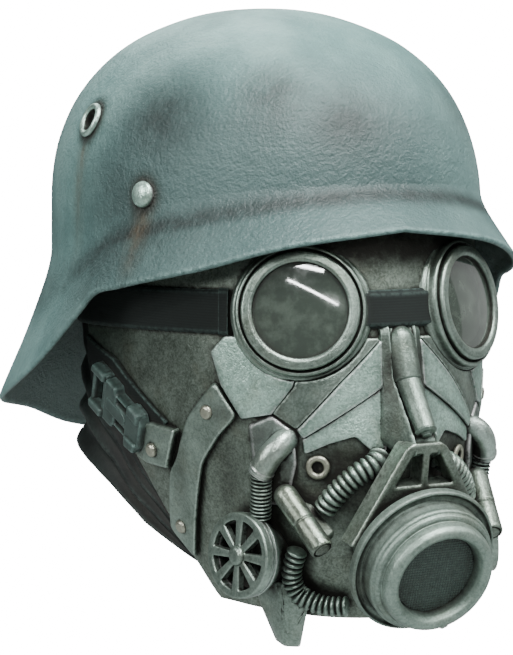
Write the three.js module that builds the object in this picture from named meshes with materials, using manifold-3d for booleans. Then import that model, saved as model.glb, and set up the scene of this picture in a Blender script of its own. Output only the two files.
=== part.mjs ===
// Costume gas mask: a flared steel-helmet shape over a face of goggles, hoses and a filter canister.
// Millimetres, +Z up. The mask looks along -Y and the wearer's right side is -X.
// The origin is the inside of the crown, where the top of the head sits.
// In the tables, az is degrees from the front round to the side and down is the depth below the origin.

import * as THREE from "three";
import { mergeVertices } from "three/addons/utils/BufferGeometryUtils.js";
import Module from "manifold-3d";

const wasm = await Module();
wasm.setup();

// Driving sizes

const GAP = 0.4; // room left between neighbouring pieces

const HELMET = {
  half: 117, // half width of the dome
  length: 142, // half length of the dome
  power: 2.1, // squareness of the plan outline
  axisY: 7, // the dome sits this far behind the face
  domeDepth: 112, // depth at which the dome reaches its full width
  wall: 2.5,
  flareEase: 0.22, // how softly the brim leaves the dome
};

// The brim: depth where the flare starts, depth of the edge and how far the edge reaches out
const BRIM = [
  { az: 0, waist: 92, rim: 113.5, out: 26 },
  { az: 20, waist: 94, rim: 121, out: 26 },
  { az: 40, waist: 99, rim: 135.5, out: 22 },
  { az: 58, waist: 105, rim: 146, out: 19 },
  { az: 66, waist: 110, rim: 151, out: 19 },
  { az: 72, waist: 115, rim: 164, out: 21 },
  { az: 85, waist: 123, rim: 189, out: 25 },
  { az: 100, waist: 128, rim: 208, out: 29 },
  { az: 120, waist: 134, rim: 224, out: 32 },
  { az: 145, waist: 143, rim: 238.5, out: 33 },
  { az: 160, waist: 148, rim: 257, out: 33 },
  { az: 180, waist: 152, rim: 269, out: 32 },
];
const BRIM_STATIONS = [0, 14, 28, 42, 55, 66, 73, 84, 99, 118, 138, 158, 180];
const DOME_ROWS = 6;
const FLARE_ROWS = 3;

// The face wall: half width, reach to the front and reach to the back at each depth
const SKIN = [
  { down: 60, half: 98, front: 108, back: 112 },
  { down: 85, half: 104, front: 126, back: 118 },
  { down: 105, half: 106, front: 135.5, back: 119 },
  { down: 117, half: 107, front: 143, back: 118 },
  { down: 137, half: 107, front: 149.5, back: 116 },
  { down: 157, half: 107, front: 153, back: 114 },
  { down: 197, half: 104, front: 159, back: 108 },
  { down: 237, half: 97, front: 162, back: 100 },
  { down: 277, half: 86, front: 160, back: 90 },
  { down: 312, half: 74, front: 152, back: 80 },
  { down: 332, half: 64, front: 140, back: 70 },
  { down: 350, half: 54, front: 126, back: 60 },
];
const SKIN_POWER = 2;
const SKIN_GRID = { reach: 98, columns: 18, top: 88, bottom: 342, rows: 10 };
const PAST_EDGE = { az: 2, down: 6 }; // how far the cut below the face runs past the face grid
const FACE = { wall: 2.2, chin: 319, cornerAz: 52, cornerDown: 295, rise: 2.33 };

// The neck piece: depth of its hidden top edge and of its hem, and how far the hem stands out
const HOOD = [
  { az: 50, top: 284, hem: 302, out: 0 },
  { az: 60, top: 264, hem: 295, out: 1 },
  { az: 75, top: 230, hem: 283, out: 3 },
  { az: 90, top: 194, hem: 267, out: 6 },
  { az: 100, top: 171, hem: 258, out: 9 },
  { az: 115, top: 152, hem: 250, out: 14 },
  { az: 140, top: 148, hem: 247, out: 20 },
  { az: 180, top: 148, hem: 249, out: 22 },
];
const HOOD_FORM = { wall: 2.2, tuck: 3.4, folds: 3, foldHeight: 3.5, ease: 25, columns: 16, rows: 8 };

const GOGGLE = {
  x: 44,
  y: -131.3,
  down: 158.4,
  cant: 31,
  tilt: 10,
  cupRadius: 37,
  eyeRadius: 23,
  segments: 16,
};
// Section of an eye cup from its base on the face to the lens seat and back
const CUP_PROFILE = [
  { r: 37, h: -18 },
  { r: 37, h: 4 },
  { r: 33, h: 7.6 },
  { r: 32.4, h: 10.8 },
  { r: 30.2, h: 13.6 },
  { r: 24.6, h: 13.8 },
  { r: 24.6, h: 12 },
  { r: 27.4, h: 12 },
  { r: 27.4, h: 9.4 },
  { r: 25, h: 9.4 },
  { r: 25, h: -18 },
];
const LENS_PROFILE = [
  { r: 0, h: 14.4 },
  { r: 13, h: 13.6 },
  { r: 24, h: 11.6 },
  { r: 27, h: 11.6 },
  { r: 27, h: 9.8 },
  { r: 0, h: 11.6 },
];
const BRIDGE = { az: 9, top: 147.5, bottom: 165.5, thick: 3.6 };
const GOGGLE_STRAP = {
  startAz: 34,
  frontMid: 158,
  backMid: 168,
  width: 22,
  lift: 1.2,
  thick: 1.8,
  columns: 26,
};

const VENT = { az: 86, down: 61, outer: 10, inner: 6, shellHole: 7.6, segments: 9 };
// Section of the vent eyelet: its tube through the shell and its rounded collar
const EYELET = { wall: 1, sink: -4, bevel: 1.4, crown: 2.2, mouth: 1.2 };
const HELMET_RIVET = { rightAz: 56, leftAz: 70, down: 99.5, radius: 7.2, height: 4, lift: 0.7, segments: 12 };

// The nose ridge from the side: a tube in two diameters on a keel
const NOSE = {
  top: { y: -156.5, down: 173.8 },
  seam: { y: -165, down: 193 },
  end: { y: -184, down: 217.5 },
  upperRadius: 7.6,
  lowerRadius: 5.6,
  nubRadius: 2.4,
  nubLength: 1.2,
  shoulder: 1.5, // length of the step between the two diameters
  overlap: 4, // the slim length starts this far inside the wide one
  chamfer: 1,
  segments: 10,
};
// The keel under the tube: half width, and where its front and back lie from the tube's middle line
const KEEL = { half: 9.4, front: 1.2, back: 8, end: 4, rise: 3 };
const BRACKET = {
  front: -186,
  depth: 12,
  top: 222,
  bottom: 258,
  topHalf: 10.5,
  slope: 0.57, // how fast the legs spread
  corner: 2.5, // cut off the top corners
  cap: 6, // height of the bar over the windows
  leg: 6.2,
  post: 2.1, // half width of the middle post
  sill: 1, // height of the bar under the windows
};
const CANISTER = {
  y: -183,
  down: 283.5,
  pitch: 20,
  radius: 40.5,
  floor: 10,
  back: -60,
  ahead: 30,
  segments: 18,
};
// Section of the canister from the screen seat round the lip, barrel and flange to its back
const CANISTER_PROFILE = [
  { r: 0, h: 10 },
  { r: 22.5, h: 10 },
  { r: 23, h: 17 },
  { r: 25.2, h: 19.6 },
  { r: 28, h: 19.6 },
  { r: 30.6, h: 17 },
  { r: 30.6, h: 11 },
  { r: 33.4, h: 9.6 },
  { r: 34.6, h: 7.6 },
  { r: 34.8, h: -1.5 },
  { r: 37.6, h: -1.5 },
  { r: 40.5, h: 0.5 },
  { r: 40.5, h: -6 },
  { r: 32, h: -8.5 },
  { r: 25, h: -44 },
  { r: 0, h: -44 },
];
const SCREEN = { radius: 22, thick: 1.2 };

// Raised panels of the cheek and jaw, as outlines on the face wall
const PANELS = {
  cheek_plate: {
    lift: GAP,
    thick: 2.6,
    finish: "pewter_light",
    outline: [
      { az: 35.5, down: 171 },
      { az: 39, down: 180 },
      { az: 36.6, down: 197 },
      { az: 31.6, down: 214.5 },
      { az: 25, down: 210 },
      { az: 20.8, down: 196 },
      { az: 19, down: 170 },
    ],
  },
  fold_upper: {
    lift: GAP,
    thick: 1.8,
    finish: "pewter",
    outline: [
      { az: 20.8, down: 196 },
      { az: 25, down: 210 },
      { az: 20.2, down: 218 },
      { az: 12, down: 193 },
      { az: 4, down: 171 },
      { az: 18, down: 170 },
    ],
  },
  fold_middle: {
    lift: GAP,
    thick: 2.4,
    finish: "pewter_light",
    outline: [
      { az: 20.2, down: 218 },
      { az: 19.1, down: 223 },
      { az: 4.2, down: 196 },
      { az: 4, down: 171 },
      { az: 12, down: 193 },
    ],
  },
  fold_lower: {
    lift: GAP,
    thick: 3.2,
    finish: "pewter",
    outline: [
      { az: 19.1, down: 223 },
      { az: 18.7, down: 231 },
      { az: 14.2, down: 225 },
      { az: 9.5, down: 221 },
      { az: 5.5, down: 232 },
      { az: 3.9, down: 228 },
      { az: 4.2, down: 196 },
    ],
  },
  jaw_strap: {
    lift: GAP,
    thick: 2.4,
    finish: "pewter",
    outline: [
      { az: 38, down: 195 },
      { az: 46.4, down: 217 },
      { az: 51, down: 240 },
      { az: 54.5, down: 249 },
      { az: 57.5, down: 270 },
      { az: 59, down: 283 },
      { az: 49, down: 298 },
      { az: 44, down: 257 },
      { az: 42, down: 241 },
      { az: 36.8, down: 224 },
      { az: 32.4, down: 213 },
    ],
  },
  chin_web: {
    lift: GAP,
    thick: 1.8,
    finish: "strap",
    outline: [
      { az: 54, down: 221 },
      { az: 65, down: 207 },
      { az: 78, down: 191 },
      { az: 98, down: 181 },
      { az: 98, down: 217 },
      { az: 76, down: 230 },
      { az: 62, down: 246 },
    ],
  },
  strap_anchor: {
    lift: 2 * GAP + 1.8,
    thick: 3,
    finish: "pewter",
    outline: [
      { az: 49.6, down: 224 },
      { az: 59.8, down: 222 },
      { az: 64.8, down: 225 },
      { az: 68.8, down: 244 },
      { az: 63.8, down: 247 },
      { az: 54.6, down: 247.5 },
    ],
  },
};
// Plate under the elbow, joined to it
const ELBOW_PLATE = {
  lift: GAP,
  thick: 2.6,
  outline: [
    { az: 30, down: 217 },
    { az: 25, down: 211 },
    { az: 20.6, down: 219 },
    { az: 20, down: 236 },
    { az: 21.8, down: 259 },
    { az: 29.4, down: 259 },
    { az: 29, down: 240 },
  ],
};
const PANEL_SEAM = 0.3; // every outline is drawn in by this much
const PANEL_SCALE = 2; // millimetres to a degree, near enough for dividing an outline into triangles

// Small round fasteners on the straps
const RIVET = { radius: 4, height: 2.2, segments: 8 };
const RIVETS = [
  { name: "jaw_rivet_upper", az: 39.5, down: 212, lift: 3.2 },
  { name: "jaw_rivet_lower", az: 52, down: 279, lift: 3.2 },
  { name: "anchor_rivet", az: 58.8, down: 236.5, lift: 6 },
];
const GROMMET = {
  az: 16.1,
  down: 237.6,
  outer: 6.5,
  inner: 3,
  stand: 0.7,
  height: 2,
  bore: 9,
  boreSides: 12,
  segments: 8,
};

// Routes of the pipes, as places on the face wall and how far their middle stands off it
const ELBOW = {
  radius: 6.5,
  sides: 8,
  steps: 4,
  route: [
    { az: 21.6, down: 222, lift: -4 },
    { az: 22.6, down: 225.5, lift: 4 },
    { az: 24.2, down: 231.5, lift: 7.6 },
    { az: 26, down: 240.5, lift: 8.4 },
  ],
};
const HOSES = [
  {
    name: "elbow_hose",
    radius: 5.4,
    ribs: 6,
    route: [
      { az: 25.8, down: 243, lift: 8 },
      { az: 25.8, down: 252, lift: 8 },
      { az: 25.8, down: 261.5, lift: 8 },
    ],
  },
  {
    name: "upper_hose",
    radius: 6,
    ribs: 9,
    route: [
      { az: 14.4, down: 258, lift: 7 },
      { az: 12.7, down: 250, lift: 7.6 },
      { az: 9.4, down: 240, lift: 7.6 },
      { az: 6.4, down: 234.5, lift: 6.6 },
    ],
  },
  {
    name: "lower_hose",
    radius: 4.7,
    ribs: 11,
    route: [
      { az: 18.7, down: 281, lift: 6 },
      { az: 19.4, down: 290, lift: 6.4 },
      { az: 19.2, down: 297, lift: 6.4 },
      { az: 17.9, down: 303.5, lift: 6.4 },
      { az: 15.4, down: 307.5, lift: 6.2 },
      { az: 12.6, down: 309.5, lift: 6.2 },
      { az: 9, down: 309, lift: 6.2 },
    ],
  },
];
const HOSE_FORM = { sides: 6, groove: 1.5 };
const CROSS_PIPE = {
  radius: 6.2,
  start: { x: 57.4, y: -140, down: 252 },
  end: { x: 50, y: -167, down: 276 },
  rounding: 0.7, // middle of the rounded end, as a share of the radius
  chamfer: 1,
  segments: 8,
  webThick: 3,
};
// The web beside the cross pipe: shares of the pipe's length and millimetres off its middle
const CROSS_WEB = [
  { along: 0.1, off: 0 },
  { along: 0.85, off: 0 },
  { along: 0.75, off: 13 },
  { along: 0.3, off: 10.4 },
];

const VALVE = {
  x: 76.7,
  y: -121.5,
  down: 285,
  az: 72,
  tilt: 5,
  radius: 22.5,
  ring: 4.2,
  hub: 5.2,
  spokes: 8,
};
const VALVE_DEPTH = { wheel: 4, well: 13, drum: 30, segments: 16, spokeWidth: 4.6 };
const VALVE_HUB = { sink: 1, height: 1.2, segments: 8, fillet: 1.5 };
// Outside of the drum behind the wheel, narrowing towards the face
const DRUM_OUTSIDE = [
  { r: VALVE.radius, h: -VALVE_DEPTH.wheel - GAP },
  { r: VALVE.radius, h: -8 },
  { r: 17.6, h: -16.5 },
  { r: 13.5, h: -VALVE_DEPTH.drum },
];

// The jaw lug: corners of its top and bottom, in order round it
const LUG = [
  { topX: 57.4, topY: -106.1, lowX: 49, lowY: -111 },
  { topX: 52.9, topY: -128.9, lowX: 50.5, lowY: -124 },
  { topX: 42.3, topY: -136.7, lowX: 43, lowY: -129 },
  { topX: 44.1, topY: -102.2, lowX: 42, lowY: -112 },
];
const LUG_DOWN = { top: 313, low: 336 };

// The side-release buckle on the chin web
const BUCKLE = { az: 73.5, down: 219, strapTurn: 28, lift: 2.7, sink: 8, thick: 6.5 };
// One edge of the buckle's body, from its loop end to its nose: along the strap and off its middle
const BUCKLE_EDGE = [
  { along: -13, off: 13.6 },
  { along: -4, off: 13.6 },
  { along: -2.5, off: 10.2 },
  { along: 9, off: 10 },
  { along: 12, off: 13.2 },
  { along: 20, off: 12 },
];
const BUCKLE_WINDOW = { from: -1.5, to: 8.5, low: 4, high: 7.8 };
const BUCKLE_LOOP = {
  from: -28,
  to: -14,
  half: 14,
  slotFrom: -24.5,
  slotTo: -17.5,
  slotHalf: 10.4,
  thick: 5.5,
};

const FINISHES = {
  helmet_paint: { color: 0x7f9695, roughness: 0.62, metalness: 0.15 },
  pewter: { color: 0x8c9a94, roughness: 0.48, metalness: 0.55 },
  pewter_light: { color: 0xaebfb9, roughness: 0.45, metalness: 0.55 },
  pewter_dark: { color: 0x59615c, roughness: 0.55, metalness: 0.45 },
  hood: { color: 0x2a2f2c, roughness: 0.8, metalness: 0 },
  strap: { color: 0x1c201e, roughness: 0.75, metalness: 0 },
  buckle: { color: 0x414b48, roughness: 0.5, metalness: 0.1 },
  lens: { color: 0x2e3532, roughness: 0.06, metalness: 0.1 },
  screen: { color: 0x3a4441, roughness: 0.6, metalness: 0.4 },
};

// Helpers for tables and directions

const rad = THREE.MathUtils.degToRad;

// Smooth value of a table's column between its rows
function smooth(rows, key, column, at) {
  const last = rows.length - 1;
  let i = 0;
  while (i < last - 1 && at > rows[i + 1][key]) {
    i += 1;
  }
  const slope = (k) => {
    const before = rows[Math.max(k - 1, 0)];
    const after = rows[Math.min(k + 1, last)];
    return (after[column] - before[column]) / (after[key] - before[key]);
  };
  const span = rows[i + 1][key] - rows[i][key];
  const t = THREE.MathUtils.clamp((at - rows[i][key]) / span, 0, 1);
  const rise = t * t * (3 - 2 * t);
  const leave = t * (1 - t) * (1 - t) * slope(i) * span;
  const arrive = t * t * (t - 1) * slope(i + 1) * span;
  return rows[i][column] + rise * (rows[i + 1][column] - rows[i][column]) + leave + arrive;
}

function superellipse(az, across, along, power) {
  const side = Math.abs(Math.sin(az) / across) ** power;
  const ahead = Math.abs(Math.cos(az) / along) ** power;
  return (side + ahead) ** (-1 / power);
}

// Direction from a turn to the side and a tilt up
function heading(az, tilt) {
  const level = Math.cos(rad(tilt));
  return new THREE.Vector3(Math.sin(rad(az)) * level, -Math.cos(rad(az)) * level, Math.sin(rad(tilt)));
}

// The face wall's surface, raised by lift
function skinPoint(azDegrees, down, lift = 0) {
  const az = rad(azDegrees);
  const half = smooth(SKIN, "down", "half", down) + lift;
  const reach = smooth(SKIN, "down", Math.cos(az) > 0 ? "front" : "back", down) + lift;
  const r = superellipse(az, half, reach, SKIN_POWER);
  return new THREE.Vector3(r * Math.sin(az), -r * Math.cos(az), -down);
}

function normalOf(point, az, down) {
  const round = point(az + 0.5, down).sub(point(az - 0.5, down));
  const fall = point(az, down + 1).sub(point(az, down - 1));
  return fall.cross(round).normalize();
}

const skinNormal = (az, down) => normalOf(skinPoint, az, down);

function seatOnSkin({ az, down, lift = 0 }) {
  return skinPoint(az, down).addScaledVector(skinNormal(az, down), lift);
}

// The helmet's outer surface at a depth, flared below the waist
function helmetPoint(azDegrees, down) {
  const turn = Math.abs(azDegrees);
  const az = rad(azDegrees);
  const waist = smooth(BRIM, "az", "waist", turn);
  const rim = smooth(BRIM, "az", "rim", turn);
  const share = Math.sin((Math.PI / 2) * Math.sqrt(Math.min(1, (down + HELMET.wall) / HELMET.domeDepth)));
  const t = Math.max(0, (down - waist) / (rim - waist));
  const ease = HELMET.flareEase;
  const flare = (Math.hypot(t, ease) - ease) / (Math.hypot(1, ease) - ease);
  const dome = superellipse(az, HELMET.half, HELMET.length, HELMET.power) * share;
  const r = dome + smooth(BRIM, "az", "out", turn) * flare;
  return new THREE.Vector3(r * Math.sin(az), HELMET.axisY - r * Math.cos(az), -down);
}

// Helpers for solids

// A closed body with merged corners, no empty triangles and its faces pointing out
function tidy(geometry) {
  const bare = geometry.index ? geometry.clone() : mergeVertices(geometry);
  for (const name of Object.keys(bare.attributes)) {
    if (name !== "position") {
      bare.deleteAttribute(name);
    }
  }
  const merged = mergeVertices(bare, 1e-3);
  const source = merged.index.array;
  const index = [];
  for (let i = 0; i < source.length; i += 3) {
    const [a, b, c] = [source[i], source[i + 1], source[i + 2]];
    if (a !== b && b !== c && c !== a) {
      index.push(a, b, c);
    }
  }
  merged.setIndex(index);
  return signedVolume(merged) < 0 ? turnedOut(merged) : merged;
}

function signedVolume(geometry) {
  const corner = [0, 1, 2].map(() => new THREE.Vector3());
  const index = geometry.index.array;
  let sum = 0;
  for (let i = 0; i < index.length; i += 3) {
    corner.forEach((v, k) => v.fromBufferAttribute(geometry.attributes.position, index[i + k]));
    sum += corner[0].dot(corner[1].clone().cross(corner[2]));
  }
  return sum / 6;
}

function turnedOut(geometry) {
  const index = Array.from(geometry.index.array);
  for (let i = 0; i < index.length; i += 3) {
    [index[i + 1], index[i + 2]] = [index[i + 2], index[i + 1]];
  }
  geometry.setIndex(index);
  return geometry;
}

function solid(geometry) {
  const clean = tidy(geometry);
  const vertProperties = new Float32Array(clean.attributes.position.array);
  const triVerts = new Uint32Array(clean.index.array);
  return new wasm.Manifold(new wasm.Mesh({ numProp: 3, vertProperties, triVerts }));
}

function geometryOf(body) {
  const mesh = body.getMesh();
  const geometry = new THREE.BufferGeometry();
  geometry.setAttribute("position", new THREE.BufferAttribute(new Float32Array(mesh.vertProperties), 3));
  geometry.setIndex(Array.from(mesh.triVerts));
  return geometry;
}

// Closed wall between two grids of points; poles close the first row over
// The two halves split their squares opposite ways, so that the sides are mirror images
function wallBetween(outer, inner, { closed = false, poles = null } = {}) {
  const positions = [];
  const index = [];
  const put = (p) => positions.push(p.x, p.y, p.z) / 3 - 1;
  const a = outer.map((column) => column.map(put));
  const b = inner.map((column) => column.map(put));
  const [topA, topB] = poles ? poles.map(put) : [];
  const columns = a.length;
  const low = a[0].length - 1;
  const count = closed ? columns : columns - 1;
  let split = true;
  const quad = (p, q, r, s) => index.push(...(split ? [p, q, r, p, r, s] : [p, q, s, q, r, s]));
  for (let i = 0; i < count; i += 1) {
    const k = (i + 1) % columns;
    split = i < count / 2;
    for (let j = 0; j < low; j += 1) {
      quad(a[i][j], a[k][j], a[k][j + 1], a[i][j + 1]);
      quad(b[i][j], b[i][j + 1], b[k][j + 1], b[k][j]);
    }
    quad(a[i][low], a[k][low], b[k][low], b[i][low]);
    if (poles) {
      index.push(a[k][0], a[i][0], topA, b[i][0], b[k][0], topB);
    } else {
      quad(a[k][0], a[i][0], b[i][0], b[k][0]);
    }
  }
  if (!closed) {
    const end = columns - 1;
    for (let j = 0; j < low; j += 1) {
      quad(a[0][j], a[0][j + 1], b[0][j + 1], b[0][j]);
      quad(a[end][j + 1], a[end][j], b[end][j], b[end][j + 1]);
    }
  }
  const geometry = new THREE.BufferGeometry();
  geometry.setAttribute("position", new THREE.Float32BufferAttribute(positions, 3));
  geometry.setIndex(index);
  return geometry;
}

function spread(from, to, steps) {
  return Array.from({ length: steps + 1 }, (_, i) => from + ((to - from) * i) / steps);
}

// Turned body about Z from a table of radius and height
function turned(profile, segments, closed = false) {
  const points = profile.map(({ r, h }) => new THREE.Vector2(r, h));
  if (closed) {
    points.push(points[0].clone());
  }
  return new THREE.LatheGeometry(points, segments).rotateX(Math.PI / 2);
}

function disc(radius, from, to, segments) {
  const profile = [
    { r: 0, h: to },
    { r: radius, h: to },
    { r: radius, h: from },
    { r: 0, h: from },
  ];
  return turned(profile, segments);
}

const UP = new THREE.Vector3(0, 0, 1);

function facing(geometry, position, direction) {
  const turn = new THREE.Quaternion().setFromUnitVectors(UP, direction);
  return geometry.applyQuaternion(turn).translate(position.x, position.y, position.z);
}

// Flat outline pushed from one height to another, with holes cut through it, placed by a matrix
function plate(points, low, high, place, holes = []) {
  const push = (outline, from, to) => {
    const shape = new THREE.Shape(outline.map(([x, y]) => new THREE.Vector2(x, y)));
    const body = new THREE.ExtrudeGeometry(shape, { depth: to - from, bevelEnabled: false });
    return solid(body.translate(0, 0, from).applyMatrix4(place));
  };
  const cut = (body, hole) => body.subtract(push(hole, low - 1, high + 1));
  return holes.reduce(cut, push(points, low, high));
}

function curveOn(route) {
  return new THREE.CatmullRomCurve3(route.map(seatOnSkin));
}

// Plain pipe along a route
function tube(route, radius, sides, steps) {
  const corners = spread(0, 2 * Math.PI, sides).slice(0, -1);
  const section = corners.map((a) => new THREE.Vector2(radius * Math.cos(a), radius * Math.sin(a)));
  const path = { steps, extrudePath: curveOn(route), bevelEnabled: false };
  return solid(new THREE.ExtrudeGeometry(new THREE.Shape(section), path));
}

function mirrored(geometry) {
  return turnedOut(tidy(geometry).scale(-1, 1, 1));
}

// Layers that follow the face wall

const SKIN_COLUMNS = spread(-SKIN_GRID.reach, SKIN_GRID.reach, SKIN_GRID.columns);
const SKIN_ROWS = spread(SKIN_GRID.top, SKIN_GRID.bottom, SKIN_GRID.rows);

function skinLayer(fromLift, toLift) {
  const grid = (lift) => SKIN_COLUMNS.map((az) => SKIN_ROWS.map((down) => skinPoint(az, down, lift)));
  return solid(wallBetween(grid(toLift), grid(fromLift)));
}

// How far cutting bodies reach below and above the face wall, and to both sides of a bore
const CUT = { deep: -32, under: -14, over: 22, past: 60, brim: 12, bore: 40, room: 2 };
const skinCore = skinLayer(CUT.deep, GAP);

// An outline drawn in by a seam, in millimetres round and down the face
function drawnIn(outline, seam) {
  const scale = outline.map(({ az, down }) => skinPoint(az, down).setZ(0).length() * rad(1));
  const flat = outline.map(({ az, down }, i) => new THREE.Vector2(az * scale[i], down));
  const turn = THREE.ShapeUtils.area(flat) > 0 ? 1 : -1;
  return flat.map((here, i) => {
    const before = flat[(i + flat.length - 1) % flat.length];
    const after = flat[(i + 1) % flat.length];
    const come = here.clone().sub(before).normalize();
    const go = after.clone().sub(here).normalize();
    const into = new THREE.Vector2(-come.y - go.y, come.x + go.x).normalize().multiplyScalar(turn);
    const corner = Math.max(0.5, Math.sqrt((1 + come.dot(go)) / 2));
    const moved = here.clone().addScaledVector(into, seam / corner);
    return { az: moved.x / scale[i], down: moved.y };
  });
}

function panel({ lift, thick, outline }) {
  const edge = drawnIn(outline, PANEL_SEAM);
  const flat = edge.map(({ az, down }) => new THREE.Vector2(az * PANEL_SCALE, down));
  const faces = THREE.ShapeUtils.triangulateShape(flat, []);
  const positions = [];
  for (const reach of [CUT.over, CUT.under]) {
    edge.forEach(({ az, down }) => positions.push(...skinPoint(az, down, reach).toArray()));
  }
  const count = edge.length;
  const index = [];
  for (const [a, b, c] of faces) {
    index.push(a, b, c, a + count, c + count, b + count);
  }
  // Sides are split by angle, so that two panels sharing an edge are split alike
  const turn = THREE.ShapeUtils.area(flat) > 0;
  for (let i = 0; i < count; i += 1) {
    const k = (i + 1) % count;
    const [p, q] = turn ? [i, k] : [k, i];
    if (edge[p].az < edge[q].az) {
      index.push(q, p, p + count, q, p + count, q + count);
    } else {
      index.push(q, p, q + count, p, p + count, q + count);
    }
  }
  const prism = new THREE.BufferGeometry();
  prism.setAttribute("position", new THREE.Float32BufferAttribute(positions, 3));
  prism.setIndex(index);
  return skinLayer(lift, lift + thick).intersect(solid(prism));
}

// The mask

const mask = new THREE.Group();

function add(name, shape, finish) {
  const geometry = shape instanceof THREE.BufferGeometry ? tidy(shape) : geometryOf(shape);
  geometry.computeVertexNormals();
  const mesh = new THREE.Mesh(geometry, new THREE.MeshStandardMaterial(FINISHES[finish]));
  mesh.name = name;
  mask.add(mesh);
}

// The same piece on the wearer's left and, mirrored, on the right
function addPair(name, shape, finish) {
  const left = shape instanceof THREE.BufferGeometry ? tidy(shape) : geometryOf(shape);
  add(`${name}_left`, left, finish);
  add(`${name}_right`, mirrored(left), finish);
}

// Helmet

function helmetWall(fromLift, toLift, rimDrop = 0) {
  const around = [...BRIM_STATIONS, ...BRIM_STATIONS.slice(1, -1).reverse().map((az) => -az)];
  const grid = (lift) =>
    around.map((az) => {
      const waist = smooth(BRIM, "az", "waist", Math.abs(az));
      const rim = smooth(BRIM, "az", "rim", Math.abs(az));
      const crownToWaist = spread(0, 1, DOME_ROWS).slice(1);
      const dome = crownToWaist.map((t) => t * t * (waist + HELMET.wall) - HELMET.wall);
      const flare = spread(waist, rim + rimDrop, FLARE_ROWS).slice(1);
      return [...dome, ...flare].map((down) =>
        helmetPoint(az, down).addScaledVector(normalOf(helmetPoint, az, down), lift),
      );
    });
  const poles = [toLift, fromLift].map((lift) => new THREE.Vector3(0, HELMET.axisY, HELMET.wall + lift));
  return solid(wallBetween(grid(toLift), grid(fromLift), { closed: true, poles }));
}

function onHelmet({ az, down, lift = 0 }) {
  const normal = normalOf(helmetPoint, az, down);
  return { seat: helmetPoint(az, down).addScaledVector(normal, lift), normal };
}

const vent = onHelmet(VENT);
const ventHole = disc(VENT.shellHole, -CUT.bore, CUT.bore, VENT.segments);
const ventBore = solid(facing(ventHole, vent.seat, vent.normal));
const ventBoreRight = solid(mirrored(geometryOf(ventBore)));
add("helmet_shell", helmetWall(-HELMET.wall, 0).subtract(ventBore).subtract(ventBoreRight), "helmet_paint");

const eyelet = [
  { r: VENT.inner, h: EYELET.sink },
  { r: VENT.inner + EYELET.wall, h: EYELET.sink },
  { r: VENT.inner + EYELET.wall, h: GAP },
  { r: VENT.outer, h: GAP },
  { r: VENT.outer - EYELET.bevel, h: EYELET.crown },
  { r: VENT.inner, h: EYELET.mouth },
];
addPair("helmet_vent", facing(turned(eyelet, VENT.segments, true), vent.seat, vent.normal), "pewter");

function domedHead(radius, height, segments) {
  const arc = spread(0, 1, 3).map((t) => ({
    r: radius * Math.sin((t * Math.PI) / 2),
    h: height * Math.cos((t * Math.PI) / 2),
  }));
  return turned([...arc, { r: 0, h: 0 }], segments);
}

// The two rivets are not a mirrored pair: the left one sits further back
function helmetRivet(az) {
  const { seat, normal } = onHelmet({ ...HELMET_RIVET, az });
  return facing(domedHead(HELMET_RIVET.radius, HELMET_RIVET.height, HELMET_RIVET.segments), seat, normal);
}
add("helmet_rivet_left", helmetRivet(HELMET_RIVET.leftAz), "pewter_light");
add("helmet_rivet_right", helmetRivet(-HELMET_RIVET.rightAz), "pewter_light");

// Goggles

const eyeAxis = heading(GOGGLE.cant, GOGGLE.tilt);
const eyeSeat = new THREE.Vector3(GOGGLE.x, GOGGLE.y, -GOGGLE.down);

function eyeBore(radius) {
  const bore = facing(disc(radius, -CUT.bore, CUT.bore, GOGGLE.segments), eyeSeat, eyeAxis);
  return solid(bore).add(solid(mirrored(bore)));
}

const cupRoom = eyeBore(GOGGLE.cupRadius + GAP);
const brimRoom = helmetWall(-HELMET.wall - GAP, CUT.brim, GAP);
const cup = facing(turned(CUP_PROFILE, GOGGLE.segments, true), eyeSeat, eyeAxis);
addPair("goggle_frame", solid(cup).subtract(skinCore).subtract(brimRoom), "pewter");
addPair("goggle_lens", facing(turned(LENS_PROFILE, GOGGLE.segments), eyeSeat, eyeAxis), "lens");

const bridgeOutline = [
  { az: -BRIDGE.az, down: BRIDGE.top },
  { az: BRIDGE.az, down: BRIDGE.top },
  { az: BRIDGE.az, down: BRIDGE.bottom },
  { az: -BRIDGE.az, down: BRIDGE.bottom },
];
const bridgeBand = panel({ lift: GAP, thick: BRIDGE.thick, outline: bridgeOutline });
add("goggle_bridge", bridgeBand.subtract(cupRoom), "strap");

function goggleStrap() {
  const stations = spread(GOGGLE_STRAP.startAz, 360 - GOGGLE_STRAP.startAz, GOGGLE_STRAP.columns);
  const grid = (lift) =>
    stations.map((az) => {
      const back = (1 - Math.cos(rad(az))) / 2;
      const mid = THREE.MathUtils.lerp(GOGGLE_STRAP.frontMid, GOGGLE_STRAP.backMid, back);
      const edges = spread(mid - GOGGLE_STRAP.width / 2, mid + GOGGLE_STRAP.width / 2, 1);
      return edges.map((down) => skinPoint(az, down, lift));
    });
  const band = wallBetween(grid(GOGGLE_STRAP.lift + GOGGLE_STRAP.thick), grid(GOGGLE_STRAP.lift));
  return solid(band).subtract(cupRoom);
}
add("goggle_strap", goggleStrap(), "strap");

// Face wall and neck piece

function faceEdge(az) {
  const rising = FACE.cornerDown - (Math.abs(az) - FACE.cornerAz) * FACE.rise;
  return Math.min(FACE.chin, rising);
}

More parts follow.
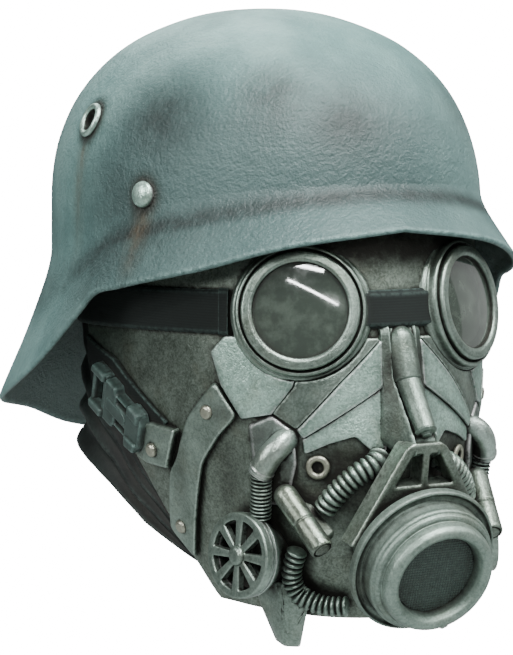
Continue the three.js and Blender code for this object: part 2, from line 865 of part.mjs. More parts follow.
// Everything below the slanted lower edge
const edgeReach = SKIN_GRID.reach + PAST_EDGE.az;
const edgeStations = spread(-edgeReach, edgeReach, SKIN_GRID.columns);
const belowEdge = (lift) =>
  edgeStations.map((az) => [
    skinPoint(az, faceEdge(az), lift),
    skinPoint(az, SKIN_GRID.bottom + PAST_EDGE.down, lift),
  ]);
const grommetSeat = seatOnSkin(GROMMET);
const grommetAxis = skinNormal(GROMMET.az, GROMMET.down);
const grommetHole = disc(GROMMET.inner, -GROMMET.bore, GROMMET.bore, GROMMET.boreSides);
const grommetBore = facing(grommetHole, grommetSeat, grommetAxis);
const face = skinLayer(-FACE.wall, 0)
  .subtract(solid(wallBetween(belowEdge(CUT.past), belowEdge(CUT.under))))
  .subtract(eyeBore(GOGGLE.eyeRadius))
  .subtract(solid(grommetBore))
  .subtract(solid(mirrored(grommetBore)));
add("face_shell", face, "pewter_dark");

function hoodPoint(az, t, lift) {
  const turn = az > 180 ? 360 - az : az;
  const top = smooth(HOOD, "az", "top", turn);
  const hem = smooth(HOOD, "az", "hem", turn);
  const out = smooth(HOOD, "az", "out", turn) * t * t;
  const fold = HOOD_FORM.foldHeight * t * (1 - Math.cos(2 * Math.PI * HOOD_FORM.folds * t)) * 0.5;
  const rear = Math.min(1, (turn - HOOD[0].az) / HOOD_FORM.ease);
  return skinPoint(az, THREE.MathUtils.lerp(top, hem, t), lift + out + fold * rear);
}

const hoodStations = spread(HOOD[0].az, 360 - HOOD[0].az, HOOD_FORM.columns);
const hoodRows = spread(0, 1, HOOD_FORM.rows);
const hoodGrid = (lift) => hoodStations.map((az) => hoodRows.map((t) => hoodPoint(az, t, lift)));
const hood = wallBetween(hoodGrid(-HOOD_FORM.tuck), hoodGrid(-HOOD_FORM.tuck - HOOD_FORM.wall));
add("neck_hood", hood, "hood");

// Canister

const canisterAxis = heading(0, -CANISTER.pitch);
const canisterSeat = new THREE.Vector3(0, CANISTER.y, -CANISTER.down);
const canister = facing(turned(CANISTER_PROFILE, CANISTER.segments), canisterSeat, canisterAxis);
add("canister", solid(canister).subtract(skinCore), "pewter");

const screenFrom = CANISTER.floor + GAP;
const screen = disc(SCREEN.radius, screenFrom, screenFrom + SCREEN.thick, CANISTER.segments);
add("canister_screen", facing(screen, canisterSeat, canisterAxis), "screen");
const canisterBulk = disc(CANISTER.radius + GAP, CANISTER.back, CANISTER.ahead, CANISTER.segments);
const canisterRoom = solid(facing(canisterBulk, canisterSeat, canisterAxis));

// Nose ridge and bracket

const sidePoint = ({ y, down }) => new THREE.Vector3(0, y, -down);

function noseTube() {
  const top = sidePoint(NOSE.top);
  const seam = sidePoint(NOSE.seam);
  const end = sidePoint(NOSE.end);
  const upper = seam.clone().sub(top);
  const lower = end.clone().sub(seam);
  const cap = spread(0, 1, 3).map((t) => ({
    r: NOSE.upperRadius * Math.sin((t * Math.PI) / 2),
    h: -NOSE.upperRadius * Math.cos((t * Math.PI) / 2),
  }));
  const upperProfile = [
    ...cap,
    { r: NOSE.upperRadius, h: upper.length() },
    { r: NOSE.lowerRadius, h: upper.length() + NOSE.shoulder },
    { r: 0, h: upper.length() + NOSE.shoulder },
  ];
  const lowerProfile = [
    { r: 0, h: -NOSE.overlap },
    { r: NOSE.lowerRadius, h: -NOSE.overlap },
    { r: NOSE.lowerRadius, h: lower.length() - NOSE.chamfer },
    { r: NOSE.lowerRadius - NOSE.chamfer, h: lower.length() },
    { r: NOSE.nubRadius, h: lower.length() },
    { r: NOSE.nubRadius, h: lower.length() + NOSE.nubLength },
    { r: 0, h: lower.length() + NOSE.nubLength },
  ];
  const keelSide = [
    [NOSE.top.y + KEEL.front, -NOSE.top.down],
    [NOSE.seam.y + KEEL.front, -NOSE.seam.down],
    [NOSE.end.y + KEEL.front, -NOSE.end.down + KEEL.rise],
    [NOSE.end.y + KEEL.end, -BRACKET.top + GAP],
    [NOSE.top.y + KEEL.back, -BRACKET.top + GAP],
    [NOSE.top.y + KEEL.back, -NOSE.top.down],
  ];
  // The keel is drawn from the side and pushed across
  const fromSide = new THREE.Matrix4().makeBasis(
    new THREE.Vector3(0, 1, 0),
    new THREE.Vector3(0, 0, 1),
    new THREE.Vector3(1, 0, 0),
  );
  return solid(facing(turned(upperProfile, NOSE.segments), top, upper.normalize()))
    .add(solid(facing(turned(lowerProfile, NOSE.segments), seam, lower.normalize())))
    .add(plate(keelSide, -KEEL.half, KEEL.half, fromSide))
    .subtract(skinCore);
}
add("nose_tube", noseTube(), "pewter_light");

function noseBracket() {
  const half = (down) => BRACKET.topHalf + (down - BRACKET.top) * BRACKET.slope;
  const windowTop = BRACKET.top + BRACKET.cap;
  const windowFoot = BRACKET.bottom - BRACKET.sill;
  const outline = [
    [BRACKET.corner - half(BRACKET.top), -BRACKET.top],
    [half(BRACKET.top) - BRACKET.corner, -BRACKET.top],
    [half(BRACKET.top + BRACKET.corner), -BRACKET.top - BRACKET.corner],
    [half(BRACKET.bottom), -BRACKET.bottom],
    [-half(BRACKET.bottom), -BRACKET.bottom],
    [-half(BRACKET.top + BRACKET.corner), -BRACKET.top - BRACKET.corner],
  ];
  const window = (sign) => [
    [sign * BRACKET.post, -windowTop],
    [sign * (half(windowTop) - BRACKET.leg), -windowTop],
    [sign * (half(windowFoot) - BRACKET.leg), -windowFoot],
    [sign * BRACKET.post, -windowFoot],
  ];
  const standing = new THREE.Matrix4().makeRotationX(Math.PI / 2).setPosition(0, BRACKET.front, 0);
  const body = plate(outline, -BRACKET.depth, 0, standing, [window(1), window(-1)]);
  return body.subtract(canisterRoom).subtract(skinCore);
}
add("nose_bracket", noseBracket(), "pewter_dark");

// Cheek and jaw panels with their rivets and grommets

const elbowRoom = tube(ELBOW.route, ELBOW.radius + GAP, ELBOW.sides, ELBOW.steps);
for (const [name, row] of Object.entries(PANELS)) {
  addPair(name, panel(row).subtract(cupRoom).subtract(elbowRoom), row.finish);
}
for (const { name, az, down, lift } of RIVETS) {
  const head = domedHead(RIVET.radius, RIVET.height, RIVET.segments);
  addPair(name, facing(head, seatOnSkin({ az, down, lift }), skinNormal(az, down)), "pewter_light");
}

const grommetShoulder = GROMMET.stand + GROMMET.height / 2;
const grommetRing = [
  { r: GROMMET.inner, h: GROMMET.stand },
  { r: GROMMET.outer, h: GROMMET.stand },
  { r: GROMMET.outer, h: grommetShoulder },
  { r: (GROMMET.outer + GROMMET.inner) / 2, h: GROMMET.stand + GROMMET.height },
  { r: GROMMET.inner, h: grommetShoulder },
];
const grommetBody = turned(grommetRing, GROMMET.segments, true);
addPair("grommet", facing(grommetBody, grommetSeat, grommetAxis), "pewter_light");

// Spoked valves

const valveAxis = heading(VALVE.az, VALVE.tilt);
const valveSeat = new THREE.Vector3(VALVE.x, VALVE.y, -VALVE.down);

function valveDrum() {
  const well = VALVE.radius - VALVE.ring;
  const profile = [
    { r: 0, h: -VALVE_DEPTH.well },
    { r: well, h: -VALVE_DEPTH.well },
    { r: well, h: DRUM_OUTSIDE[0].h },
    ...DRUM_OUTSIDE,
    { r: 0, h: -VALVE_DEPTH.drum },
  ];
  return solid(facing(turned(profile, VALVE_DEPTH.segments), valveSeat, valveAxis)).subtract(skinCore);
}
addPair("valve_drum", valveDrum(), "pewter_dark");

function valveWheel() {
  const rim = VALVE.radius - VALVE.ring;
  const polar = (r, a) => [r * Math.cos(a), r * Math.sin(a)];
  const round = (r, from, to, steps) => spread(from, to, steps).map((a) => polar(r, a));
  const step = (2 * Math.PI) / VALVE.spokes;
  const holes = Array.from({ length: VALVE.spokes }, (_, i) => {
    const from = i * step;
    const inset = (r) => Math.asin(VALVE_DEPTH.spokeWidth / 2 / r);
    const outside = round(rim, from + inset(rim), from + step - inset(rim), 1);
    const inside = polar(VALVE.hub + VALVE_HUB.fillet, from + step / 2);
    return [...outside, inside];
  });
  const outer = round(VALVE.radius, 0, 2 * Math.PI, VALVE_DEPTH.segments).slice(0, -1);
  const turn = new THREE.Quaternion().setFromUnitVectors(UP, valveAxis);
  const place = new THREE.Matrix4().makeRotationFromQuaternion(turn).setPosition(valveSeat);
  const hub = disc(VALVE.hub, -VALVE_HUB.sink, VALVE_HUB.height, VALVE_HUB.segments);
  return plate(outer, -VALVE_DEPTH.wheel, 0, place, holes).add(solid(hub.applyMatrix4(place)));
}
addPair("valve_wheel", valveWheel(), "pewter");

// Elbow pipes, hoses and cross pipes

const elbowPipe = tube(ELBOW.route, ELBOW.radius, ELBOW.sides, ELBOW.steps).subtract(skinCore);
addPair("elbow", elbowPipe.add(panel(ELBOW_PLATE)), "pewter");
const elbowRoomThick = ELBOW_PLATE.thick + CUT.room + 2 * GAP;
const elbowPlateRoom = panel({ ...ELBOW_PLATE, lift: -CUT.room, thick: elbowRoomThick });

function crossPipe() {
  const place = ({ x, y, down }) => new THREE.Vector3(x, y, -down);
  const start = place(CROSS_PIPE.start);
  const run = place(CROSS_PIPE.end).sub(start);
  const long = run.length();
  const ahead = run.clone().normalize();
  const { radius } = CROSS_PIPE;
  const half = CROSS_PIPE.webThick / 2;
  const profile = [
    { r: 0, h: -radius },
    { r: radius * CROSS_PIPE.rounding, h: -radius * CROSS_PIPE.rounding },
    { r: radius, h: 0 },
    { r: radius, h: long - CROSS_PIPE.chamfer },
    { r: radius - CROSS_PIPE.chamfer, h: long },
    { r: 0, h: long },
  ];
  const inward = new THREE.Vector3(-1, 0, 0).addScaledVector(ahead, ahead.x).normalize();
  const web = CROSS_WEB.map(({ along, off }) => [long * along, off]);
  const basis = new THREE.Matrix4().makeBasis(ahead, inward, ahead.clone().cross(inward)).setPosition(start);
  return solid(facing(turned(profile, CROSS_PIPE.segments), start, ahead))
    .add(plate(web, -half, half, basis))
    .subtract(skinCore)
    .subtract(elbowPlateRoom);
}
addPair("cross_pipe", crossPipe(), "pewter");

// A ribbed tube: a turned zigzag bent along its route
function hose({ route, radius, ribs }) {
  const curve = curveOn(route);
  const frames = curve.computeFrenetFrames(2 * ribs, false);
  const ring = (station, r) =>
    spread(0, 2 * Math.PI, HOSE_FORM.sides)
      .slice(0, -1)
      .map((a) =>
        curve
          .getPointAt(station / (2 * ribs))
          .addScaledVector(frames.normals[station], r * Math.cos(a))
          .addScaledVector(frames.binormals[station], r * Math.sin(a)),
      );
  const rings = Array.from({ length: 2 * ribs + 1 }, (_, k) =>
    ring(k, k % 2 === 1 ? radius : radius - HOSE_FORM.groove),
  );
  const positions = [curve.getPointAt(0), ...rings.flat(), curve.getPointAt(1)].flatMap((p) => p.toArray());
  const index = [];
  const sides = HOSE_FORM.sides;
  const last = 1 + rings.length * sides;
  for (let i = 0; i < sides; i += 1) {
    const k = (i + 1) % sides;
    index.push(0, 1 + k, 1 + i);
    for (let j = 0; j < rings.length - 1; j += 1) {
      const here = 1 + j * sides;
      const next = here + sides;
      index.push(here + i, here + k, next + k, here + i, next + k, next + i);
    }
    index.push(last, last - sides + i, last - sides + k);
  }
  const geometry = new THREE.BufferGeometry();
  geometry.setAttribute("position", new THREE.Float32BufferAttribute(positions, 3));
  geometry.setIndex(index);
  return geometry;
}
for (const row of HOSES) {
  addPair(row.name, hose(row), "pewter_dark");
}

// Jaw lugs

function jawLug() {
  const top = LUG.map(({ topX, topY }) => new THREE.Vector3(topX, topY, -LUG_DOWN.top));
  const low = LUG.map(({ lowX, lowY }) => new THREE.Vector3(lowX, lowY, -LUG_DOWN.low));
  const corners = [...top, ...low];
  const positions = corners.flatMap((p) => p.toArray());
  const index = [0, 1, 2, 0, 2, 3, 4, 6, 5, 4, 7, 6];
  for (let i = 0; i < 4; i += 1) {
    const k = (i + 1) % 4;
    index.push(k, i, i + 4, k, i + 4, k + 4);
  }
  const geometry = new THREE.BufferGeometry();
  geometry.setAttribute("position", new THREE.Float32BufferAttribute(positions, 3));
  geometry.setIndex(index);
  return solid(geometry).subtract(skinCore);
}
addPair("jaw_lug", jawLug(), "pewter");

// Side-release buckles

function buckleFrame() {
  const normal = skinNormal(BUCKLE.az, BUCKLE.down);
  const level = new THREE.Vector3(0, 0, 1).cross(normal).normalize().negate();
  const strapWay = level.applyAxisAngle(normal, rad(BUCKLE.strapTurn));
  const across = normal.clone().cross(strapWay);
  const seat = seatOnSkin({ az: BUCKLE.az, down: BUCKLE.down, lift: 0 });
  return new THREE.Matrix4().makeBasis(strapWay, across, normal).setPosition(seat);
}

const onBuckle = buckleFrame();
const webRoom = skinLayer(CUT.deep, BUCKLE.lift);
const anchorRoom = panel({ ...PANELS.strap_anchor, lift: -CUT.room, thick: CUT.over });

function bucklePiece(outline, thick, holes = []) {
  const body = plate(outline, BUCKLE.lift - BUCKLE.sink, BUCKLE.lift + thick, onBuckle, holes);
  return body.subtract(webRoom).subtract(anchorRoom);
}

const buckleEdge = BUCKLE_EDGE.map(({ along, off }) => [along, -off]);
const farEdge = buckleEdge.map(([along, off]) => [along, -off]).reverse();
const sideWindow = (sign) => [
  [BUCKLE_WINDOW.from, sign * BUCKLE_WINDOW.low],
  [BUCKLE_WINDOW.to, sign * BUCKLE_WINDOW.low],
  [BUCKLE_WINDOW.to, sign * BUCKLE_WINDOW.high],
  [BUCKLE_WINDOW.from, sign * BUCKLE_WINDOW.high],
];
const buckleBody = bucklePiece([...buckleEdge, ...farEdge], BUCKLE.thick, [sideWindow(1), sideWindow(-1)]);
addPair("buckle_body", buckleBody, "buckle");

const rectangle = (x0, x1, y) => [
  [x0, -y],
  [x1, -y],
  [x1, y],
  [x0, y],
];
const loopOutline = rectangle(BUCKLE_LOOP.from, BUCKLE_LOOP.to, BUCKLE_LOOP.half);
const loopSlot = rectangle(BUCKLE_LOOP.slotFrom, BUCKLE_LOOP.slotTo, BUCKLE_LOOP.slotHalf);
addPair("buckle_loop", bucklePiece(loopOutline, BUCKLE_LOOP.thick, [loopSlot]), "buckle");

export default mask;
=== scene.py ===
import math

import bmesh
import bpy
import numpy as np
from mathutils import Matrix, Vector, noise
from mathutils.bvhtree import BVHTree
from mathutils.geometry import delaunay_2d_cdt


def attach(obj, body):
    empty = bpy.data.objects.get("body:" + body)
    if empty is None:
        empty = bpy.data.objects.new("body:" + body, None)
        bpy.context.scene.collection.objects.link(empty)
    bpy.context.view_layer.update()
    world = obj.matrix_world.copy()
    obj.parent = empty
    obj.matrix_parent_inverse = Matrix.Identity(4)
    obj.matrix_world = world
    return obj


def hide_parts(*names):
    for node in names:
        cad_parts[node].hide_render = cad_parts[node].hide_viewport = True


# Costume gas mask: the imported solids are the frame, and every one of them gets a finished piece here.
# Sizes are in millimetres and degrees; az goes from the front round to the side, down is below the origin.
# Meshes are written in metres.

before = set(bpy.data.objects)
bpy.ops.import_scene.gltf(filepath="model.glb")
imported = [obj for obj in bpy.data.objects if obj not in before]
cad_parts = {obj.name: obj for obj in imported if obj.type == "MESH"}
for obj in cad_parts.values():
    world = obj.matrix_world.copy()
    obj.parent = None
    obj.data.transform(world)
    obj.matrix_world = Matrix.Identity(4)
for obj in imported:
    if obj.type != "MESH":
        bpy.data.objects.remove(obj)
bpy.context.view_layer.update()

MM = 0.001
BODY = "root"

# Driving sizes: the solids' own, and the finer ones of the dressed pieces

HELMET = dict(half=117, length=142, power=2.1, axis_y=7, dome_depth=112, wall=2.5, flare_ease=0.22)

# Brim: az, depth where the flare starts, depth of the edge, reach of the edge
BRIM = [
    (0, 92, 113.5, 26),
    (20, 94, 121, 26),
    (40, 99, 135.5, 22),
    (58, 105, 146, 19),
    (66, 110, 151, 19),
    (72, 115, 164, 21),
    (85, 123, 189, 25),
    (100, 128, 208, 29),
    (120, 134, 224, 32),
    (145, 143, 238.5, 33),
    (160, 148, 254, 33),
    (180, 152, 266, 32),
]
WAIST, RIM, OUT = 1, 2, 3

# Face wall: depth, half width, reach to the front, reach to the back
SKIN = [
    (60, 98, 108, 112),
    (85, 104, 126, 118),
    (105, 106, 135.5, 119),
    (117, 107, 143, 118),
    (137, 107, 149.5, 116),
    (157, 107, 153, 114),
    (197, 104, 159, 108),
    (237, 97, 162, 100),
    (277, 86, 160, 90),
    (312, 74, 152, 80),
    (332, 64, 140, 70),
    (350, 54, 126, 60),
]
HALF, FRONT, BACK = 1, 2, 3
FACE = dict(wall=2.2, reach=98, top=88, chin=319, corner_az=52, corner_down=295, rise=2.33)

# Neck piece: az, hidden top edge, hem, how far the hem stands out
HOOD = [
    (50, 284, 302, 0),
    (60, 264, 295, 1),
    (75, 230, 283, 3),
    (90, 194, 267, 6),
    (100, 171, 258, 9),
    (115, 152, 250, 14),
    (140, 148, 247, 20),
    (180, 148, 249, 22),
]
HOOD_TOP, HEM, STAND_OUT = 1, 2, 3
HOOD_FORM = dict(wall=2.2, tuck=3.4, folds=4.5, fold_height=5, ease=25)

GOGGLE = dict(x=44, y=-131.3, down=158.4, cant=31, tilt=10, eye=23)
VENT = dict(az=86, down=61, outer=10, inner=6, hole=7.6)
HELMET_RIVET = dict(right_az=56, left_az=70, down=99.5, radius=7.2, height=4, lift=0.5, flat=0.1)
STRAP = dict(start=34, front_mid=158, back_mid=168, width=22, lift=1.2, thick=1.8)
STRAP_HEM = dict(gap=0.6, long=2.2, wider=1.2, under=1.4, over=1.1)
BRIDGE = dict(az=9, top=147.5, bottom=165.5, low=0.4, thick=3.6)
NOSE = dict(top=(-156.5, 173.8), seam=(-165, 193), end=(-184, 217.5), upper=7.6, lower=5.6, nub=2.4)
BRACKET = dict(front=-186, depth=12, top=222, bottom=274, top_half=10.5, slope=0.57, cap=6, leg=6.2)
BRACKET.update(post=2.1, window=16, corner=2.5, lean=8, edge=1.4, wall=0.88)
CANISTER = dict(y=-183, down=283.5, pitch=20, floor=10, screen=22)
VALVE = dict(x=76.7, y=-121.5, down=285, az=72, tilt=5, radius=22.5, ring=4.2, hub=5.2, spokes=8)
VALVE.update(spoke_at_rim=2.6, spoke_at_hub=1.9, fillet=0.6, thick=4, cap=2.2)
ELBOW = dict(radius=6.5, bead=0.45, mouth=[6.2, 5.9, 5.7], mouth_depth=2.5, plate=2.8, plate_edge=1.4)
ELBOW.update(route=[(21.6, 222, -4), (22.6, 225.5, 4), (24.2, 231.5, 7.6), (26, 240.5, 8.4)])
CROSS_PIPE = dict(radius=6.2, start=(57.4, -140, -252), end=(50, -167, -276), web=13, web_thick=3)
GROMMET = dict(az=16.1, down=237.6, outer=6.5, inner=3, sunk=1.4, play=0.4, rise=0.8, swell=1.5)
RIVET = dict(radius=4, height=2.2, flat=0.45)
BUCKLE = dict(az=73.5, down=219, turn=28, long=1.06, wide=1.18)
BORE_HALF = dict(vent=20, eye=40, grommet=9)  # how far the cutting bores reach to each side

# Points on curved tables


def smooth(rows, column, at):
    """Smooth value of a table's column between its rows."""
    table = np.asarray(rows, float)
    keys, values = table[:, 0], table[:, column]
    slopes = np.gradient(values)
    slopes[1:-1] = (values[2:] - values[:-2]) / (keys[2:] - keys[:-2])
    slopes[0] = (values[1] - values[0]) / (keys[1] - keys[0])
    slopes[-1] = (values[-1] - values[-2]) / (keys[-1] - keys[-2])
    at = np.asarray(at, float)
    i = np.clip(np.searchsorted(keys, at) - 1, 0, len(keys) - 2)
    span = keys[i + 1] - keys[i]
    t = np.clip((at - keys[i]) / span, 0, 1)
    rise = t * t * (3 - 2 * t)
    leave = t * (1 - t) ** 2 * slopes[i] * span
    arrive = t * t * (t - 1) * slopes[i + 1] * span
    return values[i] + rise * (values[i + 1] - values[i]) + leave + arrive


def superellipse(az, across, along, power):
    side = np.abs(np.sin(az) / across) ** power
    ahead = np.abs(np.cos(az) / along) ** power
    return (side + ahead) ** (-1 / power)


def heading(az, tilt):
    level = math.cos(math.radians(tilt))
    turn = math.radians(az)
    return np.array([math.sin(turn) * level, -math.cos(turn) * level, math.sin(math.radians(tilt))])


def skin_point(az, down, lift=0.0):
    """The face wall's surface, raised by lift."""
    az, down, lift = np.broadcast_arrays(*(np.asarray(value, float) for value in (az, down, lift)))
    turn = np.radians(az)
    half = smooth(SKIN, HALF, down) + lift
    reach = np.where(np.cos(turn) > 0, smooth(SKIN, FRONT, down), smooth(SKIN, BACK, down)) + lift
    r = superellipse(turn, half, reach, 2)
    return np.stack([r * np.sin(turn), -r * np.cos(turn), -down], axis=-1)


def helmet_point(az, down):
    """The helmet's outer surface, flared below the waist."""
    az, down = np.broadcast_arrays(np.asarray(az, float), np.asarray(down, float))
    side = np.abs((az + 180) % 360 - 180)
    turn = np.radians(az)
    waist = smooth(BRIM, WAIST, side)
    rim = smooth(BRIM, RIM, side)
    depth = np.clip((down + HELMET["wall"]) / HELMET["dome_depth"], 0, 1)
    share = np.sin(np.pi / 2 * np.sqrt(depth))
    t = np.maximum(0, (down - waist) / (rim - waist))
    ease = HELMET["flare_ease"]
    flare = (np.hypot(t, ease) - ease) / (math.hypot(1, ease) - ease)
    r = superellipse(turn, HELMET["half"], HELMET["length"], HELMET["power"]) * share
    r = r + smooth(BRIM, OUT, side) * flare
    return np.stack([r * np.sin(turn), HELMET["axis_y"] - r * np.cos(turn), -down], axis=-1)


def normal_of(point, az, down):
    az, down = np.asarray(az, float), np.asarray(down, float)
    round_way = point(az + 0.5, down) - point(az - 0.5, down)
    fall = point(az, down + 1) - point(az, down - 1)
    normal = np.cross(fall, round_way)
    length = np.linalg.norm(normal, axis=-1, keepdims=True)
    upright = np.array([0.0, 0.0, 1.0])
    return np.where(length > 1e-6, normal / np.maximum(length, 1e-9), upright)


def seat(az, down, lift=0.0):
    """A place on the face wall, lifted straight off it."""
    return skin_point(az, down) + normal_of(skin_point, az, down) * np.asarray(lift, float)[..., None]


def skin_height(points):
    """How far points stand outside the face wall, measured from the upright axis."""
    az = np.degrees(np.arctan2(points[..., 0], -points[..., 1]))
    wall = skin_point(az, -points[..., 2])
    return np.hypot(points[..., 0], points[..., 1]) - np.hypot(wall[..., 0], wall[..., 1])


def raised_to_skin(points, axis, depth=-1.3, farthest=70.0, halvings=22):
    """Points that lie deep inside the face wall slide along axis until they are just inside it."""
    low = np.zeros(points.shape[:-1])
    high = np.full(points.shape[:-1], farthest)
    deep = skin_height(points) < depth
    for _ in range(halvings):
        middle = (low + high) / 2
        still = skin_height(points + middle[..., None] * axis) < depth
        low = np.where(still, middle, low)
        high = np.where(still, high, middle)
    return np.where(deep[..., None], points + high[..., None] * axis, points)


# Bodies are pairs of points and faces


def grid(points, around=False, loop=False):
    """Faces over rows and columns of points; around joins the columns, loop joins the rows."""
    rows, columns = points.shape[:2]
    number = np.arange(rows * columns).reshape(rows, columns)
    if around:
        number = np.concatenate([number, number[:, :1]], axis=1)
    if loop:
        number = np.concatenate([number, number[:1]], axis=0)
    corners = [number[:-1, :-1], number[:-1, 1:], number[1:, 1:], number[1:, :-1]]
    faces = np.stack(corners, axis=-1).reshape(-1, 4)
    return points.reshape(-1, 3), faces.tolist()


def joined(*bodies):
    points, faces, start = [], [], 0
    for body_points, body_faces in bodies:
        points.append(np.asarray(body_points, float))
        faces.extend([[start + k for k in face] for face in body_faces])
        start += len(body_points)
    return np.concatenate(points), faces


def mirrored(body):
    points, faces = body
    return points * np.array([-1.0, 1.0, 1.0]), [face[::-1] for face in faces]


def axes_for(direction):
    ahead = np.asarray(direction, float) / np.linalg.norm(direction)
    up = np.array([0.0, 0.0, 1.0])
    if abs(ahead[2]) > 0.95:
        up = np.array([0.0, 1.0, 0.0])
    side = np.cross(up, ahead)
    side = side / np.linalg.norm(side)
    return side, np.cross(ahead, side), ahead


CORNER_SHARE = 0.45  # most of a straight that one rounded corner takes up


def corner_curve(before, here, after, radius, steps=4):
    """Points round one corner of a section or an outline."""
    come, go = before - here, after - here
    long_come, long_go = np.linalg.norm(come), np.linalg.norm(go)
    room = min(radius, CORNER_SHARE * long_come, CORNER_SHARE * long_go)
    start, stop = here + come / long_come * room, here + go / long_go * room
    shares = np.linspace(0, 1, steps + 1)
    return [(1 - t) ** 2 * start + 2 * t * (1 - t) * here + t * t * stop for t in shares]


def softened(profile, radius, steps=4, longest=2.0):
    """A section with rounded corners, and with its long straights divided."""
    profile = np.asarray(profile, float)
    path = [profile[0]]
    for before, here, after in zip(profile, profile[1:], profile[2:]):
        path.extend(corner_curve(before, here, after, radius, steps))
    path.append(profile[-1])
    divided = [path[0]]
    for a, b in zip(path, path[1:]):
        count = max(1, math.ceil(np.linalg.norm(b - a) / longest))
        divided.extend(a + (b - a) * k / count for k in range(1, count + 1))
    return np.array(divided)


def turned(profile, centre, axis, segments=96, on_skin=False):
    """A turned body from a section of radius and height."""
    side, up, ahead = axes_for(axis)
    turn = np.linspace(0, 2 * np.pi, segments, endpoint=False)
    ring = np.cos(turn)[:, None] * side + np.sin(turn)[:, None] * up
    r, h = profile[:, 0], profile[:, 1]
    points = np.asarray(centre, float) + h[:, None, None] * ahead + r[:, None, None] * ring[None]
    if on_skin:
        points = raised_to_skin(points, ahead)
    return grid(points, around=True)


def dome(radius, height, flat=0.0, steps=12, sunk=0.8, taper=0.96):
    """Section of a rivet head, from its middle to its edge and under it."""
    angle = np.linspace(0, np.pi / 2, steps)
    r = flat * radius + (1 - flat) * radius * np.sin(angle)
    arc = np.stack([r, height * np.cos(angle)], axis=1)
    return np.concatenate([[[0, height]], arc, [[radius * taper, -sunk], [0, -sunk]]])


def bore_section(radius, half):
    """Section of a plain bore that reaches half its length to each side."""
    return np.array([[0, half], [radius, half], [radius, -half], [0, -half]], float)


def lengths_along(path):
    return np.concatenate([[0], np.cumsum(np.linalg.norm(np.diff(path, axis=0), axis=1))])


def divided_evenly(path, along, count, endpoint=True):
    at = np.linspace(0, along[-1], count, endpoint=endpoint)
    return np.stack([np.interp(at, along, column) for column in path.T], axis=1)


def smooth_path(points, count, fine_steps=24):
    """A curve through points, evenly divided along its length."""
    p = np.asarray(points, float)
    p = np.concatenate([[2 * p[0] - p[1]], p, [2 * p[-1] - p[-2]]])
    fine = []
    for a, b, c, d in zip(p, p[1:], p[2:], p[3:]):
        for t in np.linspace(0, 1, fine_steps, endpoint=False):
            bend = 2 * b + (c - a) * t + (2 * a - 5 * b + 4 * c - d) * t * t
            fine.append(0.5 * (bend + (3 * b - a - 3 * c + d) * t ** 3))
    fine = np.array(fine + [p[-2]])
    return divided_evenly(fine, lengths_along(fine), count)


def swept(path, radius, sides=28):
    """A round tube along a path, closed at both ends."""
    tangent = np.gradient(path, axis=0)
    tangent /= np.linalg.norm(tangent, axis=1, keepdims=True)
    side = axes_for(tangent[0])[0]
    turn = np.linspace(0, 2 * np.pi, sides, endpoint=False)
    rings = []
    for centre, ahead, r in zip(path, tangent, radius):
        side = side - ahead * side.dot(ahead)
        side = side / np.linalg.norm(side)
        up = np.cross(ahead, side)
        rings.append(centre + r * (np.cos(turn)[:, None] * side + np.sin(turn)[:, None] * up))
    points, faces = grid(np.array(rings), around=True)
    last = len(points) - sides
    return points, faces + [list(range(sides))[::-1], list(range(last, last + sides))]


def rounded_outline(outline, radius, spacing, fewest=8):
    """A closed outline with rounded corners, divided evenly."""
    outline = np.asarray(outline, float)
    path = []
    for before, here, after in zip(np.roll(outline, 1, axis=0), outline, np.roll(outline, -1, axis=0)):
        path.extend(corner_curve(before, here, after, radius))
    path = np.array(path + [path[0]])
    along = lengths_along(path)
    return divided_evenly(path, along, max(fewest, round(along[-1] / spacing)), endpoint=False)


def inside(points, loops):
    """Which points lie inside an outline and outside its holes."""
    hit = np.zeros(len(points), bool)
    x, y = points[:, 0], points[:, 1]
    for loop in loops:
        for (ax, ay), (bx, by) in zip(loop, np.roll(loop, -1, axis=0)):
            if ay != by:
                crosses = (ay > y) != (by > y)
                hit ^= crosses & (x < (bx - ax) * (y - ay) / (by - ay) + ax)
    return hit


def distance_to(points, loops):
    """How far points are from the nearest of the outlines."""
    best = np.full(len(points), 1e9)
    for loop in loops:
        for a, b in zip(loop, np.roll(loop, -1, axis=0)):
            run = b - a
            t = np.clip(((points - a) @ run) / max(run @ run, 1e-12), 0, 1)
            best = np.minimum(best, np.linalg.norm(points - (a + t[:, None] * run), axis=1))
    return best


RIM_SHARES = (0.15, 0.5, 1.0)  # rings of points along a plate's rounded edge, as shares of the edge
RING_ROOM = 0.93  # a ring's points this near their own distance from the outline are kept
ROW_STEP = 0.866  # rows of a triangle pattern, as a share of its spacing
FIELD_GAP = 0.45  # room between the edge and the pattern, as a share of its spacing


